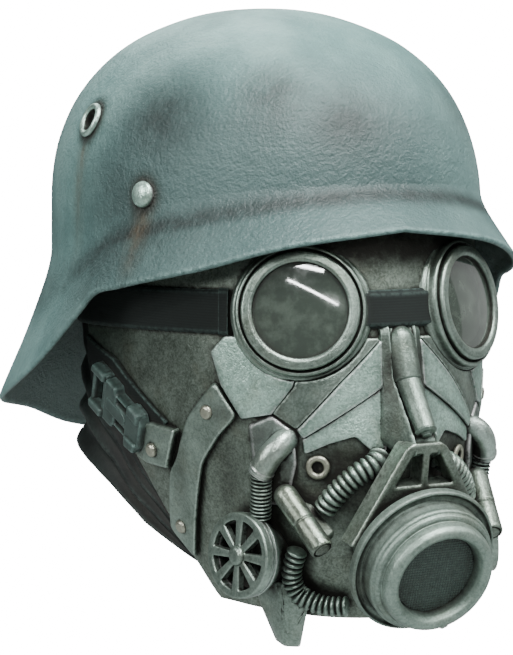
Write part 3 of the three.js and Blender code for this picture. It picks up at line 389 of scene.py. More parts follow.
def raised_sheet(loops, place, low, high, edge, spacing=1.1, lean=None, wall=0.25):
    """A closed plate over an outline with rounded upper edges; place turns u, v and height into a point.

    loops are divided outlines, the holes after the first; lean raises one side over the other.
    """
    loops = [np.asarray(loop, float) for loop in loops]
    outer = loops[0]
    rims = []
    for loop in loops:
        way = np.roll(loop, -1, axis=0) - np.roll(loop, 1, axis=0)
        square = np.stack([-way[:, 1], way[:, 0]], axis=1) / np.linalg.norm(way, axis=1, keepdims=True)
        for share in RIM_SHARES:
            for sign in (1, -1):
                ring = loop + sign * square * edge * share
                keep = inside(ring, loops) & (distance_to(ring, loops) > RING_ROOM * edge * share)
                rims.append(ring[keep])
    low_corner, high_corner = outer.min(axis=0), outer.max(axis=0)
    across = np.arange(low_corner[0], high_corner[0], spacing)
    along = np.arange(low_corner[1], high_corner[1], spacing * ROW_STEP)
    u, v = np.meshgrid(across, along)
    u = u + (np.arange(len(along)) % 2)[:, None] * spacing / 2
    field = np.stack([u.ravel(), v.ravel()], axis=1)
    field = field[inside(field, loops)]
    field = field[distance_to(field, loops) > edge + FIELD_GAP * spacing]
    flat = np.concatenate(loops + rims + [field])
    sides, start = [], 0
    for loop in loops:
        count = len(loop)
        sides.extend((start + k, start + (k + 1) % count) for k in range(count))
        start += count
    corners, _, faces, _, _, _ = delaunay_2d_cdt([Vector(p) for p in flat], sides, [], 0, 1e-5)
    flat = np.array([tuple(p) for p in corners])
    middle = np.array([flat[list(face)].mean(axis=0) for face in faces])
    faces = [list(face) for face, keep in zip(faces, inside(middle, loops)) if keep]
    used = sorted({k for face in faces for k in face})
    number = {k: i for i, k in enumerate(used)}
    flat = flat[used]
    faces = [[number[k] for k in face] for face in faces]
    share = np.clip(distance_to(flat, loops) / edge, 0, 1)
    round_top = wall + (1 - wall) * np.sqrt(np.clip(1 - (1 - share) ** 2, 0, 1))
    tall = np.full(len(flat), float(high - low))
    if lean is not None:
        way = np.asarray(lean[:2]) / np.linalg.norm(lean[:2])
        reach = flat @ way
        t = (reach - reach.min()) / (reach.max() - reach.min())
        tall = tall * (lean[2] + (1 - lean[2]) * t)
    top = place(flat[:, 0], flat[:, 1], low + tall * round_top)
    under = place(flat[:, 0], flat[:, 1], np.full(len(flat), float(low)))
    count = len(flat)
    face_sides = [pair for face in faces for pair in zip(face, face[1:] + face[:1])]
    known = set(face_sides)
    walls = [[b, a, a + count, b + count] for a, b in face_sides if (b, a) not in known]
    return np.concatenate([top, under]), faces + [[k + count for k in face[::-1]] for face in faces] + walls


def flat_place(origin, across, along):
    """Places u, v and height on a plane."""
    across, along = np.asarray(across, float), np.asarray(along, float)
    out = np.cross(across, along)
    return lambda u, v, h: origin + u[:, None] * across + v[:, None] * along + h[:, None] * out


def hull(corners, bevel, longest, passes=3):
    """A convex block with rounded edges."""
    bm = bmesh.new()
    for corner in corners:
        bm.verts.new(corner)
    made = bmesh.ops.convex_hull(bm, input=bm.verts)
    loose = [e for e in made["geom_interior"] if isinstance(e, bmesh.types.BMVert)]
    bmesh.ops.delete(bm, geom=loose, context="VERTS")
    bmesh.ops.dissolve_limit(bm, angle_limit=0.02, verts=bm.verts, edges=bm.edges)
    bmesh.ops.bevel(bm, geom=bm.edges[:], offset=bevel, segments=3, profile=0.6, affect="EDGES")
    bmesh.ops.triangulate(bm, faces=bm.faces[:])
    for _ in range(passes):
        long_edges = [e for e in bm.edges if e.calc_length() > longest]
        if long_edges:
            bmesh.ops.subdivide_edges(bm, edges=long_edges, cuts=1)
            bmesh.ops.triangulate(bm, faces=bm.faces[:])
    bm.verts.index_update()
    points = np.array([tuple(v.co) for v in bm.verts])
    faces = [[v.index for v in face.verts] for face in bm.faces]
    bm.free()
    return points, faces


def rolled_edge(a, b, inward, arc):
    """Rows of points round the edge between two rows; inward is the row before the first of them."""
    middle, radius = (a + b) / 2, np.linalg.norm(a - b, axis=-1, keepdims=True) / 2
    way = a - inward
    way = way / np.maximum(np.linalg.norm(way, axis=-1, keepdims=True), 1e-9)
    angles = np.linspace(0, np.pi, arc + 2)[1:-1]
    return [middle + (a - middle) * math.cos(t) + way * radius * math.sin(t) for t in angles]


def walled(outer, inner, arc=3):
    """A closed wall between two grids, rows from the top edge to the bottom edge, with rounded edges."""
    bottom = rolled_edge(outer[-1], inner[-1], outer[-2], arc)
    top = rolled_edge(inner[0], outer[0], inner[1], arc)
    section = np.concatenate([outer, bottom, inner[::-1], top])
    points, faces = grid(section, loop=True)
    rows, columns = section.shape[:2]
    first = [k * columns for k in range(rows)]
    return points, faces + [first[::-1], [k + columns - 1 for k in first]]


# Pieces

pieces = []


def link(name, body):
    points, faces = body
    mesh = bpy.data.meshes.new(name)
    mesh.from_pydata((points * MM).tolist(), [], faces)
    bm = bmesh.new()
    bm.from_mesh(mesh)
    bmesh.ops.remove_doubles(bm, verts=bm.verts, dist=1e-6)
    bmesh.ops.recalc_face_normals(bm, faces=bm.faces)
    bm.to_mesh(mesh)
    bm.free()
    piece = bpy.data.objects.new(name, mesh)
    bpy.context.scene.collection.objects.link(piece)
    return piece


def cut_holes(piece, cutters):
    """Bores that go right through a wall."""
    for cutter in cutters:
        tool = link("bore", cutter)
        change = piece.modifiers.new("bore", "BOOLEAN")
        change.object = tool
        change.solver = "EXACT"
        graph = bpy.context.evaluated_depsgraph_get()
        mesh = bpy.data.meshes.new_from_object(piece.evaluated_get(graph))
        piece.modifiers.clear()
        piece.data = mesh
        bpy.data.objects.remove(tool)


def add(name, body, finish, nodes, holes=(), sharp=55):
    piece = link(name, body)
    cut_holes(piece, holes)
    piece.data.materials.clear()
    piece.data.materials.append(finish)
    piece.data.shade_smooth()
    piece.data.set_sharp_from_angle(angle=math.radians(sharp))
    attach(piece, BODY)
    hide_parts(*nodes)
    pieces.append(piece)


def add_pair(name, body, finish, sharp=55):
    """The same piece on the wearer's left and, mirrored, on the right."""
    add(f"left_{name}", body, finish, [f"{name}_left"], sharp=sharp)
    add(f"right_{name}", mirrored(body), finish, [f"{name}_right"], sharp=sharp)


# Shader node groups that several finishes share


def node(tree, kind, **values):
    made = tree.nodes.new(kind)
    for key, value in values.items():
        setattr(made, key, value)
    return made


def group_tree(name, inputs, outputs):
    tree = bpy.data.node_groups.new(name, "ShaderNodeTree")
    for title, kind, value in inputs:
        socket = tree.interface.new_socket(title, in_out="INPUT", socket_type=kind)
        socket.default_value = value
    for title, kind in outputs:
        tree.interface.new_socket(title, in_out="OUTPUT", socket_type=kind)
    return tree, tree.nodes.new("NodeGroupInput"), tree.nodes.new("NodeGroupOutput")


COLOR, FLOAT = "NodeSocketColor", "NodeSocketFloat"


def math_node(tree, operation, a, b, clamp=False):
    made = node(tree, "ShaderNodeMath", operation=operation, use_clamp=clamp)
    for socket, value in zip(made.inputs, (a, b)):
        if isinstance(value, (int, float)):
            socket.default_value = value
        else:
            tree.links.new(value, socket)
    return made.outputs[0]


def mix_color(tree, share, a, b, blend="MIX"):
    made = node(tree, "ShaderNodeMix", data_type="RGBA", blend_type=blend)
    for socket, value in zip((made.inputs[0], made.inputs[6], made.inputs[7]), (share, a, b)):
        if isinstance(value, (int, float, tuple)):
            socket.default_value = value
        else:
            tree.links.new(value, socket)
    return made.outputs[2]


def ramp(tree, value, low, high):
    made = node(tree, "ShaderNodeMapRange", interpolation_type="SMOOTHSTEP")
    tree.links.new(value, made.inputs[0])
    made.inputs[1].default_value = low
    made.inputs[2].default_value = high
    return made.outputs[0]


def noise_mm(tree, size, detail=3.0, rough=0.55, stretch=(1, 1, 1)):
    """Noise whose patches are about size millimetres across."""
    place = node(tree, "ShaderNodeTexCoord")
    scale = node(tree, "ShaderNodeMapping")
    scale.inputs["Scale"].default_value = stretch
    tree.links.new(place.outputs["Object"], scale.inputs[0])
    made = node(tree, "ShaderNodeTexNoise")
    made.inputs["Scale"].default_value = 1000 / size
    made.inputs["Detail"].default_value = detail
    made.inputs["Roughness"].default_value = rough
    tree.links.new(scale.outputs[0], made.inputs[0])
    return made.outputs[0]


def mark(tree, name):
    return node(tree, "ShaderNodeAttribute", attribute_name=name).outputs["Fac"]


def grain_group():
    """Fine speckle of sprayed and dry-brushed paint."""
    inputs = [("Amount", FLOAT, 0.5)]
    tree, come, go = group_tree("paint grain", inputs, [("Mask", FLOAT), ("Height", FLOAT)])
    fine = ramp(tree, noise_mm(tree, 1.1, 2.0), 0.36, 0.64)
    coarse = ramp(tree, noise_mm(tree, 2.6, 4.0, 0.7), 0.38, 0.66)
    both = math_node(tree, "MULTIPLY", math_node(tree, "ADD", fine, coarse), 0.5)
    centred = math_node(tree, "SUBTRACT", both, 0.5)
    tree.links.new(math_node(tree, "MULTIPLY", centred, come.outputs["Amount"]), go.inputs["Mask"])
    tree.links.new(both, go.inputs["Height"])
    return tree


def wash_and_shade_group():
    """Dark wash and painted shade that lie in recesses and between parts, with a brown tinge, and bare bright
    edges.
    """
    inputs = [
        ("Colour", COLOR, (0.3, 0.3, 0.3, 1)),
        # dark colour of the wash, which is also the painted shade in recesses and between parts
        ("Dirt", COLOR, (0.037, 0.037, 0.032, 1)),
        ("Bright", COLOR, (0.5, 0.55, 0.53, 1)),
        ("Wash", FLOAT, 1.0),
        ("Wear", FLOAT, 0.5),
        ("Brown", FLOAT, 0.3),
    ]
    tree, come, go = group_tree("dark wash, painted shade and worn edges", inputs, [("Colour", COLOR), ("Recess", FLOAT)])
    patchy = ramp(tree, noise_mm(tree, 9, 5.0, 0.65), 0.3, 0.7)
    recess = mark(tree, "recess")
    spread = math_node(tree, "ADD", math_node(tree, "MULTIPLY", patchy, 0.35), 0.82)
    lain = math_node(tree, "MULTIPLY", recess, spread)
    amount = math_node(tree, "MULTIPLY", lain, come.outputs["Wash"], True)
    brown_patch = ramp(tree, noise_mm(tree, 24, 3.0, 0.6), 0.48, 0.7)
    brown = math_node(tree, "MULTIPLY", brown_patch, come.outputs["Brown"], True)
    tinged = mix_color(tree, brown, come.outputs["Colour"], (0.62, 0.47, 0.36, 1), "MULTIPLY")
    washed = mix_color(tree, amount, tinged, come.outputs["Dirt"])
    rubbed = ramp(tree, noise_mm(tree, 3.2, 4.0, 0.7), 0.3, 0.62)
    edge = math_node(tree, "MULTIPLY", mark(tree, "edge"), rubbed)
    worn = math_node(tree, "MULTIPLY", edge, come.outputs["Wear"], True)
    tree.links.new(mix_color(tree, worn, washed, come.outputs["Bright"]), go.inputs["Colour"])
    tree.links.new(amount, go.inputs["Recess"])
    return tree


GRAIN = grain_group()
WASH_AND_SHADE = wash_and_shade_group()


def placed_group(tree, group, **values):
    made = node(tree, "ShaderNodeGroup", node_tree=group)
    for key, value in values.items():
        if isinstance(value, (int, float, tuple)):
            made.inputs[key].default_value = value
        else:
            tree.links.new(value, made.inputs[key])
    return made


def new_finish(name, roughness, metallic, specular=0.5):
    finish = bpy.data.materials.new(name)
    finish.use_nodes = True
    shader = finish.node_tree.nodes["Principled BSDF"]
    shader.inputs["Roughness"].default_value = roughness
    shader.inputs["Metallic"].default_value = metallic
    shader.inputs["Specular IOR Level"].default_value = specular
    return finish, finish.node_tree, shader


def bump(tree, shader, height, strength, distance):
    made = node(tree, "ShaderNodeBump")
    made.inputs["Strength"].default_value = strength
    made.inputs["Distance"].default_value = distance * MM
    tree.links.new(height, made.inputs["Height"])
    tree.links.new(made.outputs[0], shader.inputs["Normal"])


DEEPENED = 1.75  # how much stronger a paint's hue is than it looks in the picture


def linear(*rgb):
    """A colour as measured on a screen, turned into paint; a camera pales colours, so it is deepened."""
    light = [((c / 255 + 0.055) / 1.055) ** 2.4 for c in rgb]
    grey = sum(light) / 3
    return tuple(max(0.0, grey + (c - grey) * DEEPENED) for c in light) + (1.0,)


def lay_wash_and_shade(tree, shader, paint, bright, wash, wear, brown):
    """Lays the dark wash with its painted shade, and the worn edges, over a paint."""
    washed = placed_group(tree, WASH_AND_SHADE, Colour=paint, Bright=linear(*bright), Wash=wash, Wear=wear, Brown=brown)
    tree.links.new(washed.outputs["Colour"], shader.inputs["Base Color"])
    return washed


def clouded_paint(tree, size, full, speckle, dark, light):
    """Two tones of a paint in soft clouds with a fine speckle, and the height of that speckle."""
    grain = placed_group(tree, GRAIN, Amount=speckle)
    cloud = ramp(tree, noise_mm(tree, size, 4.0, 0.6), 0.3, full)
    share = math_node(tree, "ADD", cloud, grain.outputs["Mask"], True)
    return mix_color(tree, share, linear(*dark), linear(*light)), grain.outputs["Height"]


def pewter_finish(
    name, dark, light, roughness=0.3, metallic=0.85, speckle=0.6, wash=1.2, wear=0.6, brown=0.3
):
    """Metallic paint, sprayed light over dark, with dark wash and painted shade in its recesses."""
    finish, tree, shader = new_finish(name, roughness, metallic)
    grain = placed_group(tree, GRAIN, Amount=speckle)
    cloud = ramp(tree, noise_mm(tree, 15, 4.0, 0.6), 0.3, 0.7)
    share = math_node(tree, "ADD", math_node(tree, "MULTIPLY", cloud, 0.45), 0.28)
    share = math_node(tree, "ADD", share, grain.outputs["Mask"], True)
    paint = mix_color(tree, share, linear(*dark), linear(*light))
    bright = tuple(min(255, c * 1.18 + 12) for c in light)
    washed = lay_wash_and_shade(tree, shader, paint, bright, wash, wear, brown)
    rough = math_node(tree, "MULTIPLY", washed.outputs["Recess"], 0.3)
    tree.links.new(math_node(tree, "ADD", rough, roughness), shader.inputs["Roughness"])
    bump(tree, shader, grain.outputs["Height"], 0.35, 0.25)
    return finish


def helmet_finish():
    """Rough satin paint with painted shade lower down, in its dents, crease, flare and inside, with rust and
    a rubbed edge.
    """
    finish, tree, shader = new_finish("helmet_paint", 0.46, 0.1)
    paint, _ = clouded_paint(tree, 50, 0.72, 0.25, (116, 137, 135), (158, 180, 177))
    # painted shade: darker lower down and on the shaded side, lighter behind and on the lit side
    paint = mix_color(tree, mark(tree, "shade"), paint, linear(72, 84, 83))
    # painted shade in the dents, in the crease over the brim and on the flare
    ragged = ramp(tree, noise_mm(tree, 11, 5.0, 0.65), 0.25, 0.6)
    uneven = math_node(tree, "ADD", math_node(tree, "MULTIPLY", ragged, 0.35), 0.6)
    bruise = math_node(tree, "MULTIPLY", mark(tree, "bruise"), uneven, True)
    paint = mix_color(tree, bruise, paint, linear(39, 44, 43))
    drip = ramp(tree, noise_mm(tree, 6, 5.0, 0.65, (1, 1, 0.25)), 0.2, 0.6)
    rust = math_node(tree, "MULTIPLY", mark(tree, "stain"), drip, True)
    paint = mix_color(tree, rust, paint, linear(88, 72, 56))
    paint = mix_color(tree, mark(tree, "halo"), paint, linear(38, 41, 37))
    # painted shade on the inside and on the underside of the brim
    paint = mix_color(tree, mark(tree, "inside"), paint, linear(86, 95, 92))
    lay_wash_and_shade(tree, shader, paint, (178, 200, 196), wash=0.8, wear=0.5, brown=0.05)
    peel = noise_mm(tree, 1.7, 3.0, 0.6)
    pits = noise_mm(tree, 5, 2.0, 0.5)
    height = math_node(tree, "ADD", peel, pits)
    bump(tree, shader, height, 0.75, 1.1)
    return finish


def woven_finish():
    """Dark woven band."""
    finish, tree, shader = new_finish("strap_weave", 0.8, 0.0, 0.25)
    place = node(tree, "ShaderNodeTexCoord")
    wave = node(tree, "ShaderNodeTexWave", wave_type="BANDS", bands_direction="Z")
    wave.inputs["Scale"].default_value = 1000 / 4.5
    wave.inputs["Distortion"].default_value = 0.6
    tree.links.new(place.outputs["Object"], wave.inputs[0])
    ribs = wave.outputs["Fac"]
    fuzz = noise_mm(tree, 1.6, 3.0)
    share = math_node(tree, "MULTIPLY", math_node(tree, "MULTIPLY", ribs, 0.4), fuzz)
    cloth = mix_color(tree, share, linear(26, 29, 28), linear(44, 49, 47))
    lay_wash_and_shade(tree, shader, cloth, (110, 124, 120), wash=0.5, wear=0.5, brown=0.1)
    bump(tree, shader, ribs, 0.12, 0.2)
    return finish


def hood_finish():
    """Dark moulded rubber with soft lighter ridges, worn and painted as highlight."""
    finish, tree, shader = new_finish("hood_rubber", 0.62, 0.0, 0.35)
    rubber, height = clouded_paint(tree, 20, 0.75, 0.3, (21, 24, 23), (40, 45, 43))
    # the worn ridges are lighter, partly as painted highlight on the folds
    lay_wash_and_shade(tree, shader, rubber, (92, 100, 96), wash=1.0, wear=0.8, brown=0.1)
    bump(tree, shader, height, 0.3, 0.3)
    return finish


def buckle_finish():
    """Dark moulded plastic, rubbed pale on its edges."""
    finish, tree, shader = new_finish("buckle_plastic", 0.45, 0.1)
    plastic, height = clouded_paint(tree, 12, 0.72, 0.25, (56, 65, 62), (78, 88, 85))
    lay_wash_and_shade(tree, shader, plastic, (126, 142, 138), wash=0.9, wear=0.6, brown=0.1)
    bump(tree, shader, height, 0.15, 0.2)
    return finish


def lens_finish():
    """Smoked glossy lens with faint smears."""
    finish, tree, shader = new_finish("smoked_lens", 0.08, 0.0, 0.8)
    smear = ramp(tree, noise_mm(tree, 10, 4.0, 0.65), 0.4, 0.72)
    glass = mix_color(tree, smear, linear(60, 65, 61), linear(80, 86, 81))
    lay_wash_and_shade(tree, shader, glass, (90, 100, 96), wash=0.8, wear=0.1, brown=0.1)
    rough = math_node(tree, "ADD", math_node(tree, "MULTIPLY", smear, 0.08), 0.05)
    tree.links.new(rough, shader.inputs["Roughness"])
    shader.inputs["Coat Weight"].default_value = 1.0
    shader.inputs["Coat Roughness"].default_value = 0.03
    shader.inputs["Specular Tint"].default_value = (0.95, 1.0, 0.97, 1)
    return finish


def screen_finish():
    """Dark woven wire."""
    finish, tree, shader = new_finish("screen_wire", 0.5, 0.4)
    grain = placed_group(tree, GRAIN, Amount=0.4)
    share = math_node(tree, "ADD", grain.outputs["Mask"], 0.5, True)
    wire = mix_color(tree, share, linear(52, 58, 55), linear(90, 98, 94))
    lay_wash_and_shade(tree, shader, wire, (120, 135, 130), wash=0.9, wear=0.5, brown=0.15)
    return finish


PAINT = helmet_finish()
# Lighter and darker copies of one pewter paint: partly the pieces' own tones, partly painted light and shade,
# each piece given the tone of how brightly it is lit
PEWTER = pewter_finish("pewter", (118, 127, 121), (176, 187, 180), wear=0.5)
PEWTER_LIGHT = pewter_finish(
    "pewter_light",
    (172, 191, 182),
    (230, 250, 241),
    metallic=0.8,
    brown=0.35,
    speckle=1.0,
    wear=0.4,
    wash=1.1,
)
PEWTER_SOFT = pewter_finish("pewter_soft", (148, 159, 153), (208, 219, 213))
CANISTER_PEWTER = pewter_finish(
    "canister_pewter",
    (122, 132, 126),
    (174, 186, 179),
    roughness=0.42,
    metallic=0.75,
    wash=0.95,
    wear=0.4,
)
PEWTER_MID = pewter_finish("pewter_mid", (104, 113, 107), (160, 172, 165))
PEWTER_DARK = pewter_finish("pewter_dark", (96, 102, 96), (148, 156, 149), speckle=0.9, brown=0.35)
RIVET_METAL = pewter_finish("rivet_metal", (156, 156, 146), (192, 194, 184), speckle=0.4, brown=0.25)
WEAVE = woven_finish()
RUBBER = hood_finish()
PLASTIC = buckle_finish()
LENS = lens_finish()
WIRE = screen_finish()

# Helmet

# Shallow dents: az, depth below the crown, radius, how deep
DENTS = [
    (-53, 57, 27, 1.0),
    (-23, 46, 21, 0.9),
    (-6, 60, 22, 0.9),
    (-68, 100, 26, 0.5),
    (40, 54, 26, 0.6),
    (84, 88, 32, 0.4),
    (128, 70, 38, 0.5),
    (178, 96, 42, 0.45),
    (-136, 88, 40, 0.45),
    (-158, 160, 36, 0.35),
    (112, 170, 32, 0.35),
]


def dent_share(points):
    """Sum of the dents at each point, and the same weighted by depth."""
    share, sunk = np.zeros(points.shape[:-1]), np.zeros(points.shape[:-1])
    for az, down, radius, deep in DENTS:
        centre = helmet_point(az, down)
        here = np.exp(-(np.linalg.norm(points - centre, axis=-1) / radius) ** 2)
        share = np.maximum(share, deep * here)
        sunk = sunk + deep * here
    return share, sunk


def lumps(points, size, seed):
    """Slow uneven swelling of a hand-made surface, from -1 to 1."""
    flat = points.reshape(-1, 3) / size + seed
    values = [noise.noise(Vector(p)) for p in flat]
    return np.array(values).reshape(points.shape[:-1])


def swelling(points, rows):
    """Sum of slow swellings; each row has a size, a place in the noise and a height."""
    return sum(lumps(points, size, start) * height for size, start, height in rows)


HELMET_LUMPS = [(38, 3.7, 0.45), (14, 9.1, 0.12)]
RIM_ROLL = dict(height=7, thicker=0.9, arc=5)


def helmet_body(columns=216, dome_rows=54, flare_rows=34):
    az = np.linspace(-180, 180, columns, endpoint=False)
    side = np.abs(az)
    waist, rim = smooth(BRIM, WAIST, side), smooth(BRIM, RIM, side)
    wall = HELMET["wall"]
    t = np.linspace(0, 1, dome_rows)[:, None]
    dome_down = t * t * (waist + wall) - wall
    flare_down = waist + np.linspace(0, 1, flare_rows + 1)[1:, None] * (rim - waist)
    down = np.concatenate([dome_down, flare_down])
    turn = np.broadcast_to(az, down.shape)
    outer = helmet_point(turn, down)
    normal = normal_of(helmet_point, turn, down)
    normal[0] = (0, 0, 1)
    _, sunk = dent_share(outer)
    worked = swelling(outer, HELMET_LUMPS) - sunk
    outer = outer + normal * worked[..., None]
    to_rim = np.clip((down - (rim - RIM_ROLL["height"])) / RIM_ROLL["height"], 0, 1)
    inner = outer - normal * (wall + RIM_ROLL["thicker"] * to_rim ** 2)[..., None]
    roll = rolled_edge(outer[-1], inner[-1], outer[-2], RIM_ROLL["arc"])
    return grid(np.concatenate([outer, roll, inner[::-1]]), around=True)


def on_helmet(az, down, lift=0.0):
    normal = normal_of(helmet_point, az, down)
    return helmet_point(az, down) + normal * lift, normal


vent_seat, vent_axis = on_helmet(VENT["az"], VENT["down"])
vent_bore = turned(bore_section(VENT["hole"], BORE_HALF["vent"]), vent_seat, vent_axis, 48)
add(
    "painted_helmet",
    helmet_body(),
    PAINT,
    ["helmet_shell"],
    holes=[vent_bore, mirrored(vent_bore)],
    sharp=70,
)

# Section of a vent eyelet: radius, height over the helmet
EYELET = [
    (6, -4.2),
    (6, 0.4),
    (6.8, 1.9),
    (8.2, 2.6),
    (9.4, 2.0),
    (10, 0.6),
    (9.9, -0.6),
    (7.4, -0.6),
    (7.2, -4.2),
    (6, -4.2),
]
add_pair("helmet_vent", turned(softened(EYELET, 0.6), vent_seat, vent_axis, 64), PEWTER_LIGHT)

for side, az in (("left", HELMET_RIVET["left_az"]), ("right", -HELMET_RIVET["right_az"])):
    place, axis = on_helmet(az, HELMET_RIVET["down"], HELMET_RIVET["lift"])
    head = dome(HELMET_RIVET["radius"], HELMET_RIVET["height"], HELMET_RIVET["flat"])
    body = turned(head, place, axis, 64)
    add(f"{side}_helmet_rivet", body, PEWTER_LIGHT, [f"helmet_rivet_{side}"])

# Face wall and neck piece

# Hollows pressed into the face wall: az, down, half width, half height, depth
HOLLOWS = [
    (35.5, 252, 4.5, 26, 1.8),
    (13, 242, 6, 13, 2.0),
    (70, 185, 14, 16, 0.9),
]
FACE_LUMPS = [(16, 5.3, 0.3), (6, 2.2, 0.12)]


def face_edge(az):
    """Depth of the face wall's lower edge."""
    rising = FACE["corner_down"] - (np.abs(az) - FACE["corner_az"]) * FACE["rise"]
    return np.minimum(FACE["chin"], rising)


def hollow_depth(az, down):
    deep = np.zeros(np.broadcast(az, down).shape)
    for at_az, at_down, wide, tall, depth in HOLLOWS:
        reach = ((np.abs(az) - at_az) / wide) ** 2 + ((down - at_down) / tall) ** 2
        deep = deep + depth * np.exp(-reach ** 2)
    return deep


def face_body(columns=230, rows=140):
    az = np.linspace(-FACE["reach"], FACE["reach"], columns)
    t = np.linspace(0, 1, rows)[:, None]
    down = FACE["top"] + t * (face_edge(az) - FACE["top"])
    turn = np.broadcast_to(az, down.shape)
    deep = hollow_depth(turn, down)
    worked = swelling(skin_point(turn, down), FACE_LUMPS) - deep
    outer = skin_point(turn, down, worked)
    inner = skin_point(turn, down, -FACE["wall"] - deep)
    return walled(outer, inner)


eye_axis = heading(GOGGLE["cant"], GOGGLE["tilt"])
eye_seat = np.array([GOGGLE["x"], GOGGLE["y"], -GOGGLE["down"]])
eye_bore = turned(bore_section(GOGGLE["eye"], BORE_HALF["eye"]), eye_seat, eye_axis)
grommet_axis = normal_of(skin_point, GROMMET["az"], GROMMET["down"])
grommet_seat = seat(GROMMET["az"], GROMMET["down"], -GROMMET["sunk"])
grommet_hole = bore_section(GROMMET["inner"] + GROMMET["play"], BORE_HALF["grommet"])
grommet_bore = turned(grommet_hole, grommet_seat, grommet_axis, 40)
add(
    "moulded_face",
    face_body(),
    PEWTER_DARK,
    ["face_shell"],
    holes=[eye_bore, mirrored(eye_bore), grommet_bore, mirrored(grommet_bore)],
)


HOOD_DRIFT = [(46, 1.9, 0.16), (21, 6.4, 0.05)]
HOOD_CREASES = [(11, 4.2, 0.5)]


def hood_body(columns=260, rows=72):
    az = np.linspace(HOOD[0][0], 360 - HOOD[0][0], columns)
    t = np.broadcast_to(np.linspace(0, 1, rows)[:, None], (rows, columns))
    turn = np.where(az > 180, 360 - az, az)
    top, hem = smooth(HOOD, HOOD_TOP, turn), smooth(HOOD, HEM, turn)
    down = top + t * (hem - top)
    plain = skin_point(np.broadcast_to(az, t.shape), down)
    drift = swelling(plain, HOOD_DRIFT)
    wave = (1 - np.cos(2 * np.pi * HOOD_FORM["folds"] * (t + drift * t * (1 - t) * 4))) / 2
    rear = np.minimum(1, (turn - HOOD[0][0]) / HOOD_FORM["ease"])
    fold = HOOD_FORM["fold_height"] * np.sqrt(t) * wave * rear
    crease = swelling(plain, HOOD_CREASES) * rear
    lift = smooth(HOOD, STAND_OUT, turn) * t * t + fold + crease - HOOD_FORM["tuck"]
    outer = skin_point(np.broadcast_to(az, t.shape), down, lift)
    inner = skin_point(np.broadcast_to(az, t.shape), down, lift - HOOD_FORM["wall"])
    return walled(outer, inner)


add("neck_folds", hood_body(), RUBBER, ["neck_hood"], sharp=75)

# Goggles

# Section of an eye cup: radius, height along its axis
CUP = [
    (25, -18),
    (37, -18),
    (37, 2.4),
    (36.4, 4.8),
    (35.2, 6.2),
    (34.3, 6.4),
    (33.9, 7.4),
    (33.9, 9.6),
    (33.3, 10.9),
    (32.2, 11.2),
    (31.3, 10.4),
    (31, 9.5),
    (30.6, 10.2),
    (30.7, 12.8),
    (29.9, 13.9),
    (26.2, 14.4),
    (24.9, 13.7),
    (24.4, 11.4),
    (25, 9.4),
    (25, -18),
]
cup = turned(softened(CUP, 0.7, 3, 1.6), eye_seat, eye_axis, 160, on_skin=True)
add_pair("goggle_frame", cup, PEWTER)

LENS_FORM = dict(radius=25.2, crown=14.2, drop=2.6, back=[(25.2, 10.2), (18, 10.9), (0, 11.6)])
lens_radii = np.linspace(0, LENS_FORM["radius"], 22)
lens_heights = LENS_FORM["crown"] - LENS_FORM["drop"] * (lens_radii / LENS_FORM["radius"]) ** 2
lens_section = np.array(list(zip(lens_radii, lens_heights)) + LENS_FORM["back"], float)
add_pair("goggle_lens", turned(lens_section, eye_seat, eye_axis, 128), LENS, sharp=40)

BAND_HEM = dict(width=1.6, height=0.6)  # over this width a band's edges fall to this share of its height


def band_body(first, last, columns, rows, middle, width, low, high):
    """A flat band that follows the face wall from one az to another."""
    az = np.linspace(first, last, columns)
    across = np.linspace(-width / 2, width / 2, rows)[:, None]
    down = middle(az) + across
    turn = np.broadcast_to(az, down.shape)
    hem = np.clip((width / 2 - np.abs(across)) / BAND_HEM["width"], 0, 1)
    crown = np.broadcast_to(BAND_HEM["height"] + (1 - BAND_HEM["height"]) * np.sqrt(hem), down.shape)
    outer = skin_point(turn, down, low + (high - low) * crown)
    return walled(outer, skin_point(turn, down, np.full(down.shape, low)))


def strap_middle(az):
    back = (1 - np.cos(np.radians(az))) / 2
    return STRAP["front_mid"] + (STRAP["back_mid"] - STRAP["front_mid"]) * back


strap_top = STRAP["lift"] + STRAP["thick"]
strap_end = STRAP["start"] + STRAP_HEM["gap"]
strap_args = (340, 22, strap_middle, STRAP["width"], STRAP["lift"], strap_top)
band = band_body(strap_end, 360 - strap_end, *strap_args)
hem_width = STRAP["width"] + STRAP_HEM["wider"]
hem_args = (14, 22, strap_middle, hem_width, strap_top - STRAP_HEM["under"], strap_top + STRAP_HEM["over"])
left_hem = band_body(strap_end, strap_end + STRAP_HEM["long"], *hem_args)
right_hem = band_body(360 - strap_end - STRAP_HEM["long"], 360 - strap_end, *hem_args)
add("goggle_band", joined(band, left_hem, right_hem), WEAVE, ["goggle_strap"])

bridge_middle = (BRIDGE["top"] + BRIDGE["bottom"]) / 2
bridge_width = BRIDGE["bottom"] - BRIDGE["top"]


def level_middle(az):
    return np.full(len(az), bridge_middle)


bridge_args = (50, 20, level_middle, bridge_width, BRIDGE["low"], BRIDGE["thick"])
add("nose_band", band_body(-BRIDGE["az"], BRIDGE["az"], *bridge_args), WEAVE, ["goggle_bridge"])

# Cheek and jaw panels

FLAT_SCALE = 2.5  # millimetres on the face wall to a degree round it, near enough for drawing outlines
PANEL_SUNK = 0.9  # how far the panels reach into the face wall
CLOSEST = 0.05  # points of an outline nearer to each other than this are taken out

